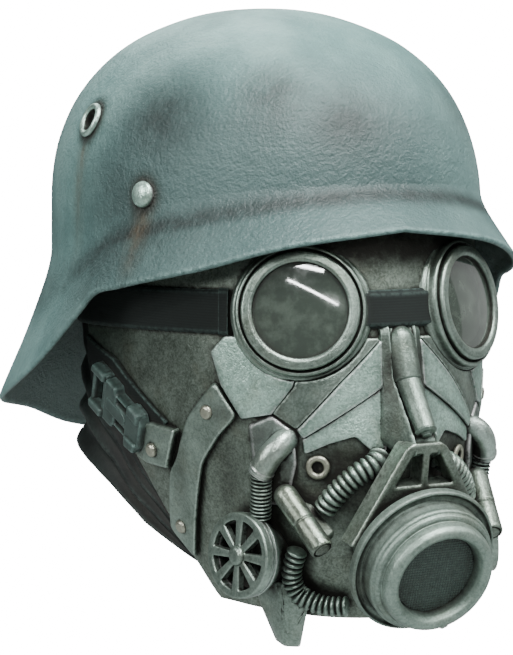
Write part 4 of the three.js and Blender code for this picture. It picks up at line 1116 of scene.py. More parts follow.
PANELS = {
    "cheek_plate": dict(
        finish=PEWTER_LIGHT,
        slot="pewter_light",
        thick=3.0,
        edge=0.8,
        corner=0.8,
        outline=[
            (35.5, 171),
            (39, 180),
            (36.6, 197),
            (31.6, 214.5),
            (25, 211),
            (20.8, 196),
            (19, 170),
        ],
    ),
    "fold_upper": dict(
        finish=PEWTER,
        slot="pewter",
        thick=2.3,
        edge=0.5,
        corner=1,
        outline=[(20.8, 196), (25, 210), (20.2, 218), (12, 193), (4, 171), (18, 170)],
    ),
    "fold_middle": dict(
        finish=PEWTER_LIGHT,
        slot="pewter_light",
        thick=2.8,
        edge=0.6,
        corner=1,
        outline=[(20.2, 218), (19.1, 223), (4.2, 196), (4, 171), (12, 193)],
    ),
    "fold_lower": dict(
        finish=PEWTER_LIGHT,
        slot="pewter",
        thick=3.4,
        edge=0.6,
        corner=1.2,
        lean=(-0.6, 0.8, 0.5),
        outline=[(19.1, 223), (18.7, 231), (14.2, 225), (9.5, 221), (5.5, 232), (3.9, 228), (4.2, 196)],
    ),
    "jaw_strap": dict(
        finish=PEWTER,
        slot="pewter",
        thick=3.8,
        edge=1.3,
        corner=4,
        outline=[
            (38, 195),
            (46.4, 217),
            (51, 240),
            (54.5, 249),
            (57.5, 270),
            (59, 283),
            (49, 298),
            (44, 257),
            (42, 241),
            (36.8, 224),
            (32.4, 213),
        ],
    ),
    "chin_web": dict(
        finish=WEAVE,
        slot="strap",
        thick=2.0,
        edge=0.9,
        corner=1,
        outline=[(54, 221), (65, 207), (78, 191), (98, 181), (98, 217), (76, 230), (62, 246)],
    ),
    "strap_anchor": dict(
        finish=PEWTER,
        slot="pewter",
        thick=5.6,
        edge=1.5,
        corner=2,
        outline=[(49.6, 224), (59.8, 222), (64.8, 225), (68.8, 244), (63.8, 247), (54.6, 247.5)],
    ),
}
ELBOW_PLATE = [(30, 217), (25, 211), (20.6, 219), (20, 236), (21.8, 259), (29.4, 259), (29, 240)]


def on_face(u, v, h):
    return skin_point(u / FLAT_SCALE, v, h)


def clear_of_cup(loop, room=35.5, passes=5):
    """An outline's points under the eye cup move out to the cup's wall."""
    centre_az = math.degrees(math.atan2(eye_seat[0], -eye_seat[1]))
    centre = np.array([centre_az * FLAT_SCALE, GOGGLE["down"]])
    for _ in range(passes):
        off = on_face(loop[:, 0], loop[:, 1], np.zeros(len(loop))) - eye_seat
        across = off - (off @ eye_axis)[:, None] * eye_axis
        far = np.linalg.norm(across, axis=1)
        grow = np.where(far < room, room / np.maximum(far, 1), 1)
        loop = centre + (loop - centre) * grow[:, None]
    return loop


def face_panel(outline, thick, edge, corner, lean=None, spacing=1.0):
    flat = [(az * FLAT_SCALE, down) for az, down in outline]
    loop = clear_of_cup(rounded_outline(flat, corner, spacing))
    gap = np.linalg.norm(loop - np.roll(loop, 1, axis=0), axis=1)
    loop = rounded_outline(loop[gap > CLOSEST], 0.1, spacing)
    return raised_sheet([loop], on_face, -PANEL_SUNK, thick, edge, spacing, lean)


for name, row in PANELS.items():
    body = face_panel(row["outline"], row["thick"], row["edge"], row["corner"], row.get("lean"))
    add_pair(name, body, row["finish"])

SMALL_RIVETS = [
    ("jaw_rivet_upper", 39.5, 212, 3.3),
    ("jaw_rivet_lower", 52, 279, 3.3),
    ("anchor_rivet", 58.8, 236.5, 5.9),
]
for name, az, down, lift in SMALL_RIVETS:
    head = dome(RIVET["radius"], RIVET["height"], RIVET["flat"])
    body = turned(head, seat(az, down, lift), normal_of(skin_point, az, down), 48)
    add_pair(name, body, RIVET_METAL)

ring_angle = np.linspace(0, 2 * np.pi, 25)
ring_middle = (GROMMET["outer"] + GROMMET["inner"]) / 2
ring_half = (GROMMET["outer"] - GROMMET["inner"]) / 2
ring_height = GROMMET["rise"] + GROMMET["swell"] * np.sin(ring_angle)
ring = np.stack([ring_middle + ring_half * np.cos(ring_angle), ring_height], axis=1)
cup_in, cup_out = GROMMET["inner"] + 0.2, GROMMET["inner"] + 1
blind = [(0, -1.6), (cup_in, -1.6), (cup_in, 0.6), (cup_out, 0.6), (cup_out, -2.4), (0, -2.4)]
grommet = joined(
    turned(ring, grommet_seat, grommet_axis, 56),
    turned(softened(blind, 0.2), grommet_seat, grommet_axis, 56),
)
add_pair("grommet", grommet, RIVET_METAL)

# Nose ridge, bracket and canister


def side_point(place):
    return np.array([0.0, place[0], -place[1]])


def nose_body():
    top, seam, end = (side_point(NOSE[key]) for key in ("top", "seam", "end"))
    upper, lower = np.linalg.norm(seam - top), np.linalg.norm(end - seam)
    angle = np.linspace(0, np.pi / 2, 12)
    cap = [(NOSE["upper"] * math.sin(a), -NOSE["upper"] * 1.25 * math.cos(a)) for a in angle]
    wide, slim = NOSE["upper"], NOSE["lower"]
    upper_section = cap + [
        (wide, upper * 0.6),
        (wide - 0.5, upper - 0.6),
        (slim + 0.4, upper + 0.4),
        (0, upper + 0.6),
    ]
    lower_section = [
        (0, -4),
        (slim + 0.9, -4),
        (slim + 0.9, 1.0),
        (slim, lower - 2),
        (slim + 0.5, lower - 1.4),
        (slim - 0.6, lower),
        (NOSE["nub"] + 0.6, lower),
        (NOSE["nub"], lower + 1.4),
        (0, lower + 1.6),
    ]
    upper_tube = turned(softened(upper_section, 0.8), top, seam - top, 56)
    lower_tube = turned(softened(lower_section, 0.5), seam, end - seam, 56)
    return joined(upper_tube, lower_tube, keel_body())


# Ridge below the nose tube: depth and front of its middle line, then depth, half width and flank
KEEL_LINE = [(168, -156.5), (174, -157), (184, -160), (193, -165), (205, -174), (220.5, -185.5)]
KEEL_WIDTHS = np.array([(168, 7.8, 3.6), (193, 7.6, 4.2), (220, 7.0, 7.5)])
KEEL = dict(back_of_line=1.2, least=4, foot=1.5, flank_bow=0.9, behind=3)
KEEL.update(trough=1.6, trough_edge=0.4, ease=0.8)


def keel_body(rows=34, columns=45):
    """The ridge that carries the tube: a trough along its middle and flanks that run onto the cheeks."""
    low = np.linspace(KEEL_LINE[0][0], KEEL_LINE[-1][0], rows)
    front = smooth(KEEL_LINE, 1, low) + KEEL["back_of_line"]
    half, flank = (np.interp(low, KEEL_WIDTHS[:, 0], KEEL_WIDTHS[:, column]) for column in (1, 2))
    t = np.linspace(-1, 1, columns)
    outer, inner = [], []
    for down, y, wide, out in zip(low, front, half, flank):
        skin = float(skin_point(0, down)[1])
        y = min(y, skin - KEEL["least"])
        x = t * (wide + out)
        off = np.clip((np.abs(x) - wide) / out, 0, 1)
        fall = y + (skin - KEEL["foot"] - y) * off ** KEEL["flank_bow"]
        sunk = KEEL["trough"] * np.clip((wide - KEEL["trough_edge"] - np.abs(x)) / KEEL["ease"], 0, 1)
        outer.append(np.stack([x, fall + sunk, np.full(columns, -down)], axis=1))
        inner.append(np.stack([x, np.full(columns, skin + KEEL["behind"]), np.full(columns, -down)], axis=1))
    return walled(np.array(outer), np.array(inner))


add("nose_ridge", nose_body(), PEWTER_MID, ["nose_tube"])

canister_axis = heading(0, -CANISTER["pitch"])
canister_seat = np.array([0.0, CANISTER["y"], -CANISTER["down"]])


def bracket_body():
    def half(down):
        return BRACKET["top_half"] + (down - BRACKET["top"]) * BRACKET["slope"]

    foot = BRACKET["bottom"]
    leg = BRACKET["leg"]
    window_top = BRACKET["top"] + BRACKET["cap"]
    window_foot = window_top + BRACKET["window"]
    cut = BRACKET["corner"]
    outline = [
        (-half(BRACKET["top"]) + cut, 0),
        (-half(BRACKET["top"] + cut), -cut),
        (-half(foot), BRACKET["top"] - foot),
        (half(foot), BRACKET["top"] - foot),
        (half(BRACKET["top"] + cut), -cut),
        (half(BRACKET["top"]) - cut, 0),
    ]
    loops = [rounded_outline(outline, 1.2, 1.0)]
    for sign in (1, -1):
        window = [
            (sign * BRACKET["post"], BRACKET["top"] - window_top),
            (sign * (half(window_top) - leg), BRACKET["top"] - window_top),
            (sign * (half(window_foot) - leg), BRACKET["top"] - window_foot),
            (sign * BRACKET["post"], BRACKET["top"] - window_foot),
        ]
        loops.append(rounded_outline(window, 0.8, 0.9))
    lean = math.radians(BRACKET["lean"])
    origin = np.array([0.0, BRACKET["front"], -BRACKET["top"]])
    place = flat_place(origin, (1, 0, 0), (0, -math.sin(lean), math.cos(lean)))
    return raised_sheet(loops, place, -BRACKET["depth"], 0, BRACKET["edge"], 1.0, wall=BRACKET["wall"])


add("nose_bracket_frame", bracket_body(), PEWTER_DARK, ["nose_bracket"])

# Section of the canister: radius, height along its axis
CANISTER_SECTION = [
    (0, 10),
    (22.2, 10),
    (22.8, 15.4),
    (24.2, 18.4),
    (26.6, 19.7),
    (29, 18.8),
    (30.4, 16.4),
    (30.6, 13),
    (30.2, 11.6),
    (32, 11.2),
    (33.2, 10.2),
    (33.3, 9),
    (34.6, 8.4),
    (35, 6.8),
    (34.4, 5.6),
    (34.6, 0),
    (35.4, -1.4),
    (37.8, -1.4),
    (39.4, 0.3),
    (40.5, -0.6),
    (40.6, -4.6),
    (39.4, -6),
    (36, -7),
    (30, -9),
    (27, -16),
    (25, -44),
    (0, -44),
]
canister = turned(softened(CANISTER_SECTION, 0.9, 3, 1.7), canister_seat, canister_axis, 168, on_skin=True)
add("canister_body", canister, CANISTER_PEWTER, ["canister"])


WOVEN = dict(under=0.3, lift=0.7, wire=0.75, middle=0.55, swing=0.3)  # heights of the woven wires


def screen_body(pitch=1.5, step=0.3):
    """Plain woven wire as one waved sheet on a disc."""
    radius = CANISTER["screen"]
    side, up, ahead = axes_for(canister_axis)
    ticks = np.arange(-radius, radius + step, step)
    u, v = np.meshgrid(ticks, ticks)
    far = np.hypot(u, v)
    grow = np.where(far > radius, radius / np.maximum(far, 1e-6), 1)
    u, v = u * grow, v * grow
    a, b = np.pi * u / pitch, np.pi * v / pitch
    over = np.where((np.floor(u / pitch) + np.floor(v / pitch)) % 2 == 0, 1.0, -1.0)
    warp = np.abs(np.sin(a)) * (WOVEN["middle"] + WOVEN["swing"] * over * np.abs(np.sin(b)))
    weft = np.abs(np.sin(b)) * (WOVEN["middle"] - WOVEN["swing"] * over * np.abs(np.sin(a)))
    height = CANISTER["floor"] + WOVEN["lift"] + WOVEN["wire"] * np.maximum(warp, weft)
    flat = canister_seat + u[..., None] * side + v[..., None] * up
    under = flat + (CANISTER["floor"] + WOVEN["under"]) * ahead
    return walled(flat + height[..., None] * ahead, under, arc=1)


add("canister_weave", screen_body(), WIRE, ["canister_screen"], sharp=80)

# Spoked valves

valve_axis = heading(VALVE["az"], VALVE["tilt"])
valve_seat = np.array([VALVE["x"], VALVE["y"], -VALVE["down"]])
# Section of a valve drum: radius, height along its axis
DRUM_SECTION = [
    (0, -11),
    (17.9, -11),
    (18.1, -4.2),
    (22.0, -4.2),
    (22.3, -5.4),
    (21.3, -6.0),
    (21.3, -7.0),
    (22.2, -7.6),
    (21.8, -9.6),
    (19.6, -12.6),
    (17.8, -16.5),
    (16.0, -22),
    (14, -30),
    (0, -30),
]
drum = turned(softened(DRUM_SECTION, 0.6, 3, 1.5), valve_seat, valve_axis, 120, on_skin=True)
add_pair("valve_drum", drum, PEWTER_SOFT)


def wheel_body():
    side, up, _ = axes_for(valve_axis)
    place = flat_place(valve_seat, side, up)
    turn = np.linspace(0, 2 * np.pi, 150, endpoint=False)
    radius, rim, hub = VALVE["radius"], VALVE["radius"] - VALVE["ring"], VALVE["hub"]
    loops = [np.stack([radius * np.cos(turn), radius * np.sin(turn)], axis=1)]
    step = 2 * np.pi / VALVE["spokes"]
    root = hub + VALVE["fillet"]
    at_rim, at_hub = math.asin(VALVE["spoke_at_rim"] / rim), math.asin(VALVE["spoke_at_hub"] / root)
    for k in range(VALVE["spokes"]):
        start, stop = k * step, (k + 1) * step
        arc = [(rim * math.cos(a), rim * math.sin(a)) for a in np.linspace(start + at_rim, stop - at_rim, 9)]
        back = [(root * math.cos(a), root * math.sin(a)) for a in (stop - at_hub, start + at_hub)]
        loops.append(rounded_outline(arc + back, 0.7, 0.8))
    plate = raised_sheet(loops, place, -VALVE["thick"], 0, 0.8, 0.9, wall=0.8)
    cap = turned(dome(hub, VALVE["cap"], 0.5), valve_seat, valve_axis, 48)
    return joined(plate, cap)


add_pair("valve_wheel", wheel_body(), PEWTER)

# Elbows, hoses and cross pipes


def route_on_face(route, count):
    """A smooth path through places on the face wall, each an az, a depth and a lift."""
    return smooth_path(np.array([seat(*stop) for stop in route]), count)


elbow_path = route_on_face(ELBOW["route"], 60)


def elbow_body():
    """A bent tube with a bead near its open mouth, on a plate."""
    radius = np.full(len(elbow_path), float(ELBOW["radius"]))
    radius[-8:-3] += ELBOW["bead"]
    end = elbow_path[-1]
    ahead = end - elbow_path[-2]
    ahead = ahead / np.linalg.norm(ahead)
    mouth = [end + ahead * off for off in (0.01, 0.02, -ELBOW["mouth_depth"])]
    tube = swept(np.concatenate([elbow_path, mouth]), np.concatenate([radius, ELBOW["mouth"]]), 40)
    return joined(tube, face_panel(ELBOW_PLATE, ELBOW["plate"], ELBOW["plate_edge"], 2))


add_pair("elbow", elbow_body(), PEWTER_SOFT)

HOSES = {
    "elbow_hose": dict(radius=5.7, ribs=12, route=[(25.8, 241, 7), (25.9, 252, 6.8), (26, 264.5, 6.6)]),
    "upper_hose": dict(
        radius=6.2,
        ribs=13,
        route=[(14.4, 258, 6.4), (12.7, 250, 7.4), (9.4, 240, 7.4), (6.4, 234.5, 6.2), (4.9, 231, 2)],
    ),
    "lower_hose": dict(
        radius=5.5,
        ribs=17,
        route=[
            (18.7, 280, 5.6),
            (19.4, 290, 6.4),
            (19.2, 297, 6.4),
            (17.9, 303.5, 6.4),
            (15.4, 307.5, 6.2),
            (12.6, 309.5, 6.2),
            (9, 309, 6.2),
        ],
    ),
}


def hose_body(radius, ribs, route, groove=1.9, steps=10, roundness=0.8):
    """A ribbed hose; steps are the rings of points along each rib."""
    count = ribs * steps + 1
    t = np.linspace(0, ribs, count)
    shape = np.abs(np.sin(np.pi * t)) ** roundness
    return swept(route_on_face(route, count), radius - groove + groove * shape, 26)


for name, hose in HOSES.items():
    add_pair(name, hose_body(**hose), PEWTER_MID, sharp=80)


def cross_pipe_body():
    start, end = np.array(CROSS_PIPE["start"], float), np.array(CROSS_PIPE["end"], float)
    run = end - start
    long = np.linalg.norm(run)
    ahead = run / long
    radius = CROSS_PIPE["radius"]
    angle = np.linspace(0, np.pi / 2, 10)
    section = [(radius * math.sin(a), -radius * math.cos(a)) for a in angle]
    section += [
        (radius, long * 0.48),
        (radius - 0.5, long * 0.5),
        (radius - 0.15, long * 0.53),
        (radius, long - 1.2),
        (radius - 0.5, long),
        (radius - 1.1, long - 0.1),
        (radius - 1.3, long - 0.9),
        (radius - 1.7, long - 0.7),
        (radius - 2.2, long + 0.3),
        (0, long + 0.5),
    ]
    pipe = turned(softened(section, 0.5), start, run, 56)
    inward = np.array([-1.0, 0, 0]) + ahead * ahead[0]
    inward = inward / np.linalg.norm(inward)
    reach = CROSS_PIPE["web"]
    web = [(long * 0.02, 0), (long * 0.9, 0), (long * 0.8, reach), (long * 0.26, reach * 0.8)]
    loop = rounded_outline(web, 1.5, 0.9)
    if np.cross(ahead, inward) @ np.array([0, -1, 0]) > 0:
        place = flat_place(start, ahead, inward)
    else:
        place = flat_place(start, inward, ahead)
        loop = loop[:, ::-1]
    half = CROSS_PIPE["web_thick"] / 2
    return joined(pipe, raised_sheet([loop], place, -half - 2, half, 1.2, 0.9))


add_pair("cross_pipe", cross_pipe_body(), PEWTER_DARK)

# Jaw lugs: corners from top to bottom

LUG_TOP = [(58.5, -105, -300), (56, -129, -300), (42.3, -140, -302), (43, -100, -302)]
LUG_MIDDLE = [(57.4, -106.1, -313), (52.9, -128.9, -313), (42.3, -136.7, -313), (44.1, -102.2, -313)]
LUG_LOW = [(49, -111, -336), (50.5, -124, -336), (43, -129, -336), (42, -112, -336)]
lug = hull(LUG_TOP + LUG_MIDDLE + LUG_LOW, 1.6, 2.5)
lug = (raised_to_skin(lug[0], np.array([0.0, 0.0, -1.0])), lug[1])
add_pair("jaw_lug", lug, PEWTER)

# Side-release buckles

buckle_out = normal_of(skin_point, BUCKLE["az"], BUCKLE["down"])
level = -np.cross([0, 0, 1], buckle_out)
level = level / np.linalg.norm(level)
turn = math.radians(BUCKLE["turn"])
strap_way = level * math.cos(turn) + np.cross(buckle_out, level) * math.sin(turn)
strap_across = np.cross(buckle_out, strap_way)
on_buckle = flat_place(seat(BUCKLE["az"], BUCKLE["down"], 0.0), strap_way, strap_across)


def buckle_plate(outline, low, high, corner, edge=1.2, holes=()):
    def drawn(points, rounding):
        sized = [(along * BUCKLE["long"], off * BUCKLE["wide"]) for along, off in points]
        return rounded_outline(sized, rounding, 0.9)

    loops = [drawn(outline, corner)] + [drawn(hole, 0.8) for hole in holes]
    return raised_sheet(loops, on_buckle, low, high, edge, 1.0, wall=0.6)


def both_sides(half_outline):
    """An outline given from one end to the other along one edge, closed by its mirror image."""
    return list(half_outline) + [(x, -y) for x, y in reversed(half_outline)]


body_half = [(-13.5, 11.5), (-4, 11.5), (-2.5, 8.6), (9, 8.4), (12, 11.4), (20, 10.4), (23, 6.5)]
window = [(-1.5, 4.2), (8.5, 4.2), (8.5, 7.2), (-1.5, 7.2)]
body_windows = [window, [(x, -y) for x, y in window]]
buckle = joined(
    buckle_plate(both_sides(body_half), 1.5, 8, 1.4, 1.0, body_windows),
    buckle_plate(both_sides([(-10, 3.2), (6, 3.2), (9, 1.6)]), 7.4, 8.6, 1.2, 0.8),
    buckle_plate([(10, 6), (22, 5.2), (20.5, 11), (11, 12)], 3, 9.6, 1.6, 1.4),
    buckle_plate([(10, -6), (11, -12), (20.5, -11), (22, -5.2)], 3, 9.6, 1.6, 1.4),
)
add_pair("buckle_body", buckle, PLASTIC)

loop_slot = [(-25, -9), (-17.5, -9), (-17.5, 9), (-25, 9)]
loop = joined(
    buckle_plate([(-28, -12), (-14, -12), (-14, 12), (-28, 12)], 1.2, 6.6, 1.6, 1.0, [loop_slot]),
    buckle_plate([(-28, 7.8), (-14.5, 7.8), (-15, 12.6), (-27, 12.4)], 3, 8.8, 1.4, 1.3),
    buckle_plate([(-28, -7.8), (-27, -12.4), (-15, -12.6), (-14.5, -7.8)], 3, 8.8, 1.4, 1.3),
)
add_pair("buckle_loop", loop, PLASTIC)

# Marks on the surfaces: dark wash and painted shade in recesses and where shade falls, bare edges and rust
# stains

RAYS = dict(count=10, quick_count=3, turn=2.399963, reach=0.02, lift=0.0003)
RECESS = dict(gain=2.4, less=0.1)
BARE_EDGE = dict(gain=5, less=0.15)


def vectors_of(items, name):
    """One vector for each vertex or normal of a mesh."""
    rows = np.empty(len(items) * 3)
    items.foreach_get(name, rows)
    return rows.reshape(-1, 3)


def points_of(mesh):
    return vectors_of(mesh.vertices, "co") / MM


def unit(vectors):
    return vectors / np.maximum(np.linalg.norm(vectors, axis=1, keepdims=True), 1e-9)


def write_mark(mesh, name, values):
    mark_layer = mesh.attributes.new(name, "FLOAT", "POINT")
    mark_layer.data.foreach_set("value", values.astype(np.float32))


def shut_in(co, normal, tree):
    """How much of the space over each point is taken up by what stands close by."""
    count = RAYS["count"]
    spin = np.arange(count) * RAYS["turn"]
    lean = np.sqrt((np.arange(count) + 0.5) / count)
    helper = np.where(np.abs(normal[:, 2:3]) > 0.9, [[1.0, 0, 0]], [[0, 0, 1.0]])
    side = unit(np.cross(helper, normal))
    up = np.cross(normal, side)
    shut = np.zeros(len(co))
    begin = co + normal * RAYS["lift"]
    for a, b, c in zip(lean * np.cos(spin), lean * np.sin(spin), np.sqrt(1 - lean ** 2)):
        way = a * side + b * up + c * normal
        for k in range(len(co)):
            far = tree.ray_cast(Vector(begin[k]), Vector(way[k]), RAYS["reach"])[3]
            if far is not None:
                shut[k] += 1 - far / RAYS["reach"]
    return np.clip(shut / count * RECESS["gain"] - RECESS["less"], 0, 1)


def bare_edge(co, normal, mesh):
    """How sharply the surface bends outwards at each point."""
    ends = np.empty(len(mesh.edges) * 2, int)
    mesh.edges.foreach_get("vertices", ends)
    a, b = ends.reshape(-1, 2).T
    run = unit(co[b] - co[a])
    bend, total = np.zeros(len(co)), np.zeros(len(co))
    np.add.at(bend, a, -(normal[a] * run).sum(axis=1))
    np.add.at(bend, b, (normal[b] * run).sum(axis=1))
    np.add.at(total, a, 1)
    np.add.at(total, b, 1)
    return np.clip(bend / np.maximum(total, 1) * BARE_EDGE["gain"] - BARE_EDGE["less"], 0, 1)


def recess_and_edge():
    """Writes how shut in and how sharp each point of each piece is; the shut-in amount is laid as dark wash
    and painted shade.
    """
    points, faces, start = [], [], 0
    for piece in pieces:
        mesh = piece.data
        points.append(vectors_of(mesh.vertices, "co"))
        faces.extend([start + k for k in face.vertices] for face in mesh.polygons)
        start += len(mesh.vertices)
    tree = BVHTree.FromPolygons(np.concatenate(points).tolist(), faces)
    for piece, co in zip(pieces, points):
        normal = vectors_of(piece.data.vertex_normals, "vector")
        edge = bare_edge(co, normal, piece.data)
        write_mark(piece.data, "recess", shut_in(co, normal, tree))
        write_mark(piece.data, "edge", edge)


STREAK = dict(half=6, start=10, dark=0.5, fade=1.3, below_vent=85, below_rivet=48)
STREAK_DEPTH = 60  # streaks run only down the side of the helmet their fitting is on
HALO = 4.6  # how far the dark ring round a fitting spreads
# Painted shade on the helmet: the crease over the brim, the flare, the dents, and a tone that darkens lower
# down, less behind and on the lit side
CREASE = dict(front=0.27, lower_aside=0.1, half=0.2, dark=0.97, less_behind=0.45)
FLARE = dict(dark=0.8, less_behind=0.95, full=0.3, fade=1.5)
SHADE = dict(front=0.94, less_aside=0.06, less_behind=0.6, less_lit_side=0.4, start=12, over=50)
LIP = dict(over=0.6, least=0.85)
# Stretches of az round the helmet: where each starts, and over how many degrees it comes in
STRETCH = dict(aside=(10, 45), behind=(65, 25), lit_side=(8, 30), past_lit_side=(60, 40))
DENT_DARK = 0.92
# Painted shade on the inside of the helmet and on the underside of its brim
INSIDE_DARK = 0.9
INSIDE_LIFT = 60  # tips the outward direction up, so that the brim's underside counts as inside


def part_way(value, start, over):
    """Runs from 0 at the start to 1 at the end of a stretch."""
    return np.clip((value - start) / over, 0, 1)


def fitting_marks(points):
    """Rust streaks below the vents and rivets of the helmet, and a dark ring round each of them."""
    fittings = [(sign * VENT["az"], VENT["down"], VENT["outer"], STREAK["below_vent"]) for sign in (1, -1)]
    for az in (HELMET_RIVET["left_az"], -HELMET_RIVET["right_az"]):
        fittings.append((az, HELMET_RIVET["down"], HELMET_RIVET["radius"], STREAK["below_rivet"]))
    stain, halo = np.zeros(len(points)), np.zeros(len(points))
    for az, down, radius, long in fittings:
        off = points - helmet_point(az, down)
        turn = math.radians(az)
        sideways = off[:, 0] * math.cos(turn) + off[:, 1] * math.sin(turn)
        ahead = off[:, 0] * math.sin(turn) - off[:, 1] * math.cos(turn)
        beyond = np.maximum(np.linalg.norm(off, axis=1) - radius, 0)
        halo = np.maximum(halo, np.exp(-(beyond / HALO) ** 2))
        below = -off[:, 2]
        streak = np.exp(-(sideways / STREAK["half"]) ** 2) * (ahead > -STREAK_DEPTH)
        streak *= part_way(below, 0, STREAK["start"])
        streak *= np.clip(STREAK["fade"] - STREAK["fade"] * below / long, 0, 1)
        stain = np.maximum(stain, STREAK["dark"] * streak)
    return stain, halo


def helmet_marks():
    """Painted shade in the dents, the crease over the brim, the flare, lower down and inside; rust and the
    rings round the fittings.
    """
    mesh = bpy.data.objects["painted_helmet"].data
    points = points_of(mesh)
    share, _ = dent_share(points)
    az = np.degrees(np.arctan2(points[:, 0], HELMET["axis_y"] - points[:, 1]))
    waist, rim = smooth(BRIM, WAIST, np.abs(az)), smooth(BRIM, RIM, np.abs(az))
    fall = (-points[:, 2] - waist) / (rim - waist)
    aside = part_way(np.abs(az), *STRETCH["aside"])
    behind = part_way(np.abs(az), *STRETCH["behind"])
    lit_side = part_way(az, *STRETCH["lit_side"]) * (1 - part_way(az, *STRETCH["past_lit_side"]))
    # painted shade in the crease over the brim, on the flare and in the dents
    crease = np.exp(-((fall - CREASE["front"] - CREASE["lower_aside"] * aside) / CREASE["half"]) ** 2)
    crease *= CREASE["dark"] - CREASE["less_behind"] * behind
    flare = FLARE["dark"] * aside * (1 - FLARE["less_behind"] * behind)
    flare *= part_way(fall, 0, FLARE["full"]) * np.clip(FLARE["fade"] - fall, 0, 1)
    write_mark(mesh, "bruise", np.maximum(np.maximum(DENT_DARK * share, crease), flare))
    # painted shade, darker lower down, lifted behind and on the lit side
    shade_lifted = SHADE["less_behind"] * behind + SHADE["less_lit_side"] * lit_side
    dark = np.clip(SHADE["front"] - SHADE["less_aside"] * aside - shade_lifted, 0, 1)
    lip = np.clip((1 - fall) / LIP["over"], LIP["least"], 1)
    write_mark(mesh, "shade", part_way(-points[:, 2], SHADE["start"], SHADE["over"]) * dark * lip)
    stain, halo = fitting_marks(points)
    write_mark(mesh, "stain", stain)
    write_mark(mesh, "halo", halo)
    # painted shade on the inside and on the underside of the brim
    outward = points - np.array([0, HELMET["axis_y"], 0])
    outward[:, 2] = np.maximum(outward[:, 2], -1) + INSIDE_LIFT
    facing = (vectors_of(mesh.vertex_normals, "vector") * outward).sum(axis=1)
    write_mark(mesh, "inside", np.where(facing < 0, INSIDE_DARK, 0.0))


# Painted shade on the face wall and the plates on it, where shade falls under the brim, the folds and beside
# the tube: az, down, half width, half height, how dark
SHADED = [
    (3.4, 190, 3.0, 26, 0.75),
    (4, 213, 3.0, 12, 0.6),
    (26, 216, 5, 5, 0.5),
    (23, 196, 3, 10, 0.3),
    (36, 212, 5, 6, 0.5),
    (50, 240, 3, 30, 0.35),
    (12, 234, 9, 12, 0.75),
    (36, 245, 4.5, 30, 0.38),
    (25, 290, 10, 14, 0.2),
    (60, 146, 40, 9, 0.3),
    (0, 125, 36, 11, 0.95),
]
SHADED_PIECES = ["face", "cheek_plate", "fold_upper", "fold_middle", "fold_lower", "jaw_strap", "ridge"]
# Painted shade along the creases of the cheek, where one fold shades the next: their ends in az and down
CREASES = [
    ((20.2, 218), (12, 193)),
    ((12, 193), (4, 171)),
    ((19.1, 223), (4.2, 196)),
    ((20.8, 196), (25, 210)),
    ((25, 210), (20.2, 218)),
    ((39, 180), (36.6, 197)),
    ((36.6, 197), (31.6, 214.5)),
]
CREASE_SHADE = dict(wide=3.4, dark=0.55)
CANISTER_SHADE = dict(lip=13, over=8, dark=0.4)  # the unshaded lip begins at this height along the canister
VENT_SHADE = dict(room=0.5, top=1.2)
ELBOW_SHADE = dict(room=0.6, dark=0.55)
SIDES = (("left", 1), ("right", -1))


def deepen(mesh, dark):
    """Lays more painted shade on a piece, where it is darker than what is there."""
    layer = mesh.attributes["recess"].data
    recess = np.empty(len(dark), np.float32)
    layer.foreach_get("value", recess)
    layer.foreach_set("value", np.maximum(recess, dark).astype(np.float32))


def crease_shade(flat):
    """Painted shade by how near each point is to a crease."""
    dark = np.zeros(len(flat))
    for ends in CREASES:
        start, stop = (np.array(end) * [FLAT_SCALE, 1] for end in ends)
        run = stop - start
        along = np.clip((flat - start) @ run / (run @ run), 0, 1)
        off = np.linalg.norm(flat - start - along[:, None] * run, axis=1)
        dark = np.maximum(dark, CREASE_SHADE["dark"] * np.exp(-(off / CREASE_SHADE["wide"]) ** 2))
    return dark


def face_marks():
    """Painted shade on the face wall and the plates that lie on it."""
    for piece in pieces:
        if piece.name.split("_", 1)[-1] not in SHADED_PIECES:
            continue
        points = points_of(piece.data)
        az, down = np.abs(np.degrees(np.arctan2(points[:, 0], -points[:, 1]))), -points[:, 2]
        dark = crease_shade(np.stack([az * FLAT_SCALE, down], axis=1))
        for at_az, at_down, wide, tall, amount in SHADED:
            reach = ((az - at_az) / wide) ** 2 + ((down - at_down) / tall) ** 2
            dark = np.maximum(dark, amount * np.exp(-reach))
        deepen(piece.data, dark)


def canister_marks():
    """Painted shade over the flange and the steps behind the lip."""
    mesh = bpy.data.objects["canister_body"].data
    height = (points_of(mesh) - canister_seat) @ canister_axis
    behind_lip = np.clip((CANISTER_SHADE["lip"] - height) / CANISTER_SHADE["over"], 0, 1)
    deepen(mesh, CANISTER_SHADE["dark"] * behind_lip)


def vent_marks():
    """Painted shade inside the eyelets' bores."""
    for side, sign in SIDES:
        mesh = bpy.data.objects[f"{side}_helmet_vent"].data
        flip = np.array([sign, 1, 1])
        off = points_of(mesh) - vent_seat * flip
        height = off @ (vent_axis * flip)
        far = np.linalg.norm(off - height[:, None] * vent_axis * flip, axis=1)
        in_bore = (far < VENT["inner"] + VENT_SHADE["room"]) & (height < VENT_SHADE["top"])
        deepen(mesh, np.where(in_bore, 1.0, 0.0))


def elbow_marks():
    """Painted shade on the plates behind the elbows."""
    for side, sign in SIDES:
        mesh = bpy.data.objects[f"{side}_elbow"].data
        points = points_of(mesh) * [sign, 1, 1]
        gap = np.linalg.norm(points[:, None] - elbow_path[None], axis=2).min(axis=1)
        deepen(mesh, ELBOW_SHADE["dark"] * np.clip(gap - ELBOW["radius"] - ELBOW_SHADE["room"], 0, 1))


recess_and_edge()
helmet_marks()
elbow_marks()
face_marks()
canister_marks()
vent_marks()

# Floor, light and camera

WHITE_GLOW = 18  # strong enough to come out as plain white
WORLD_GLOW = 0.12


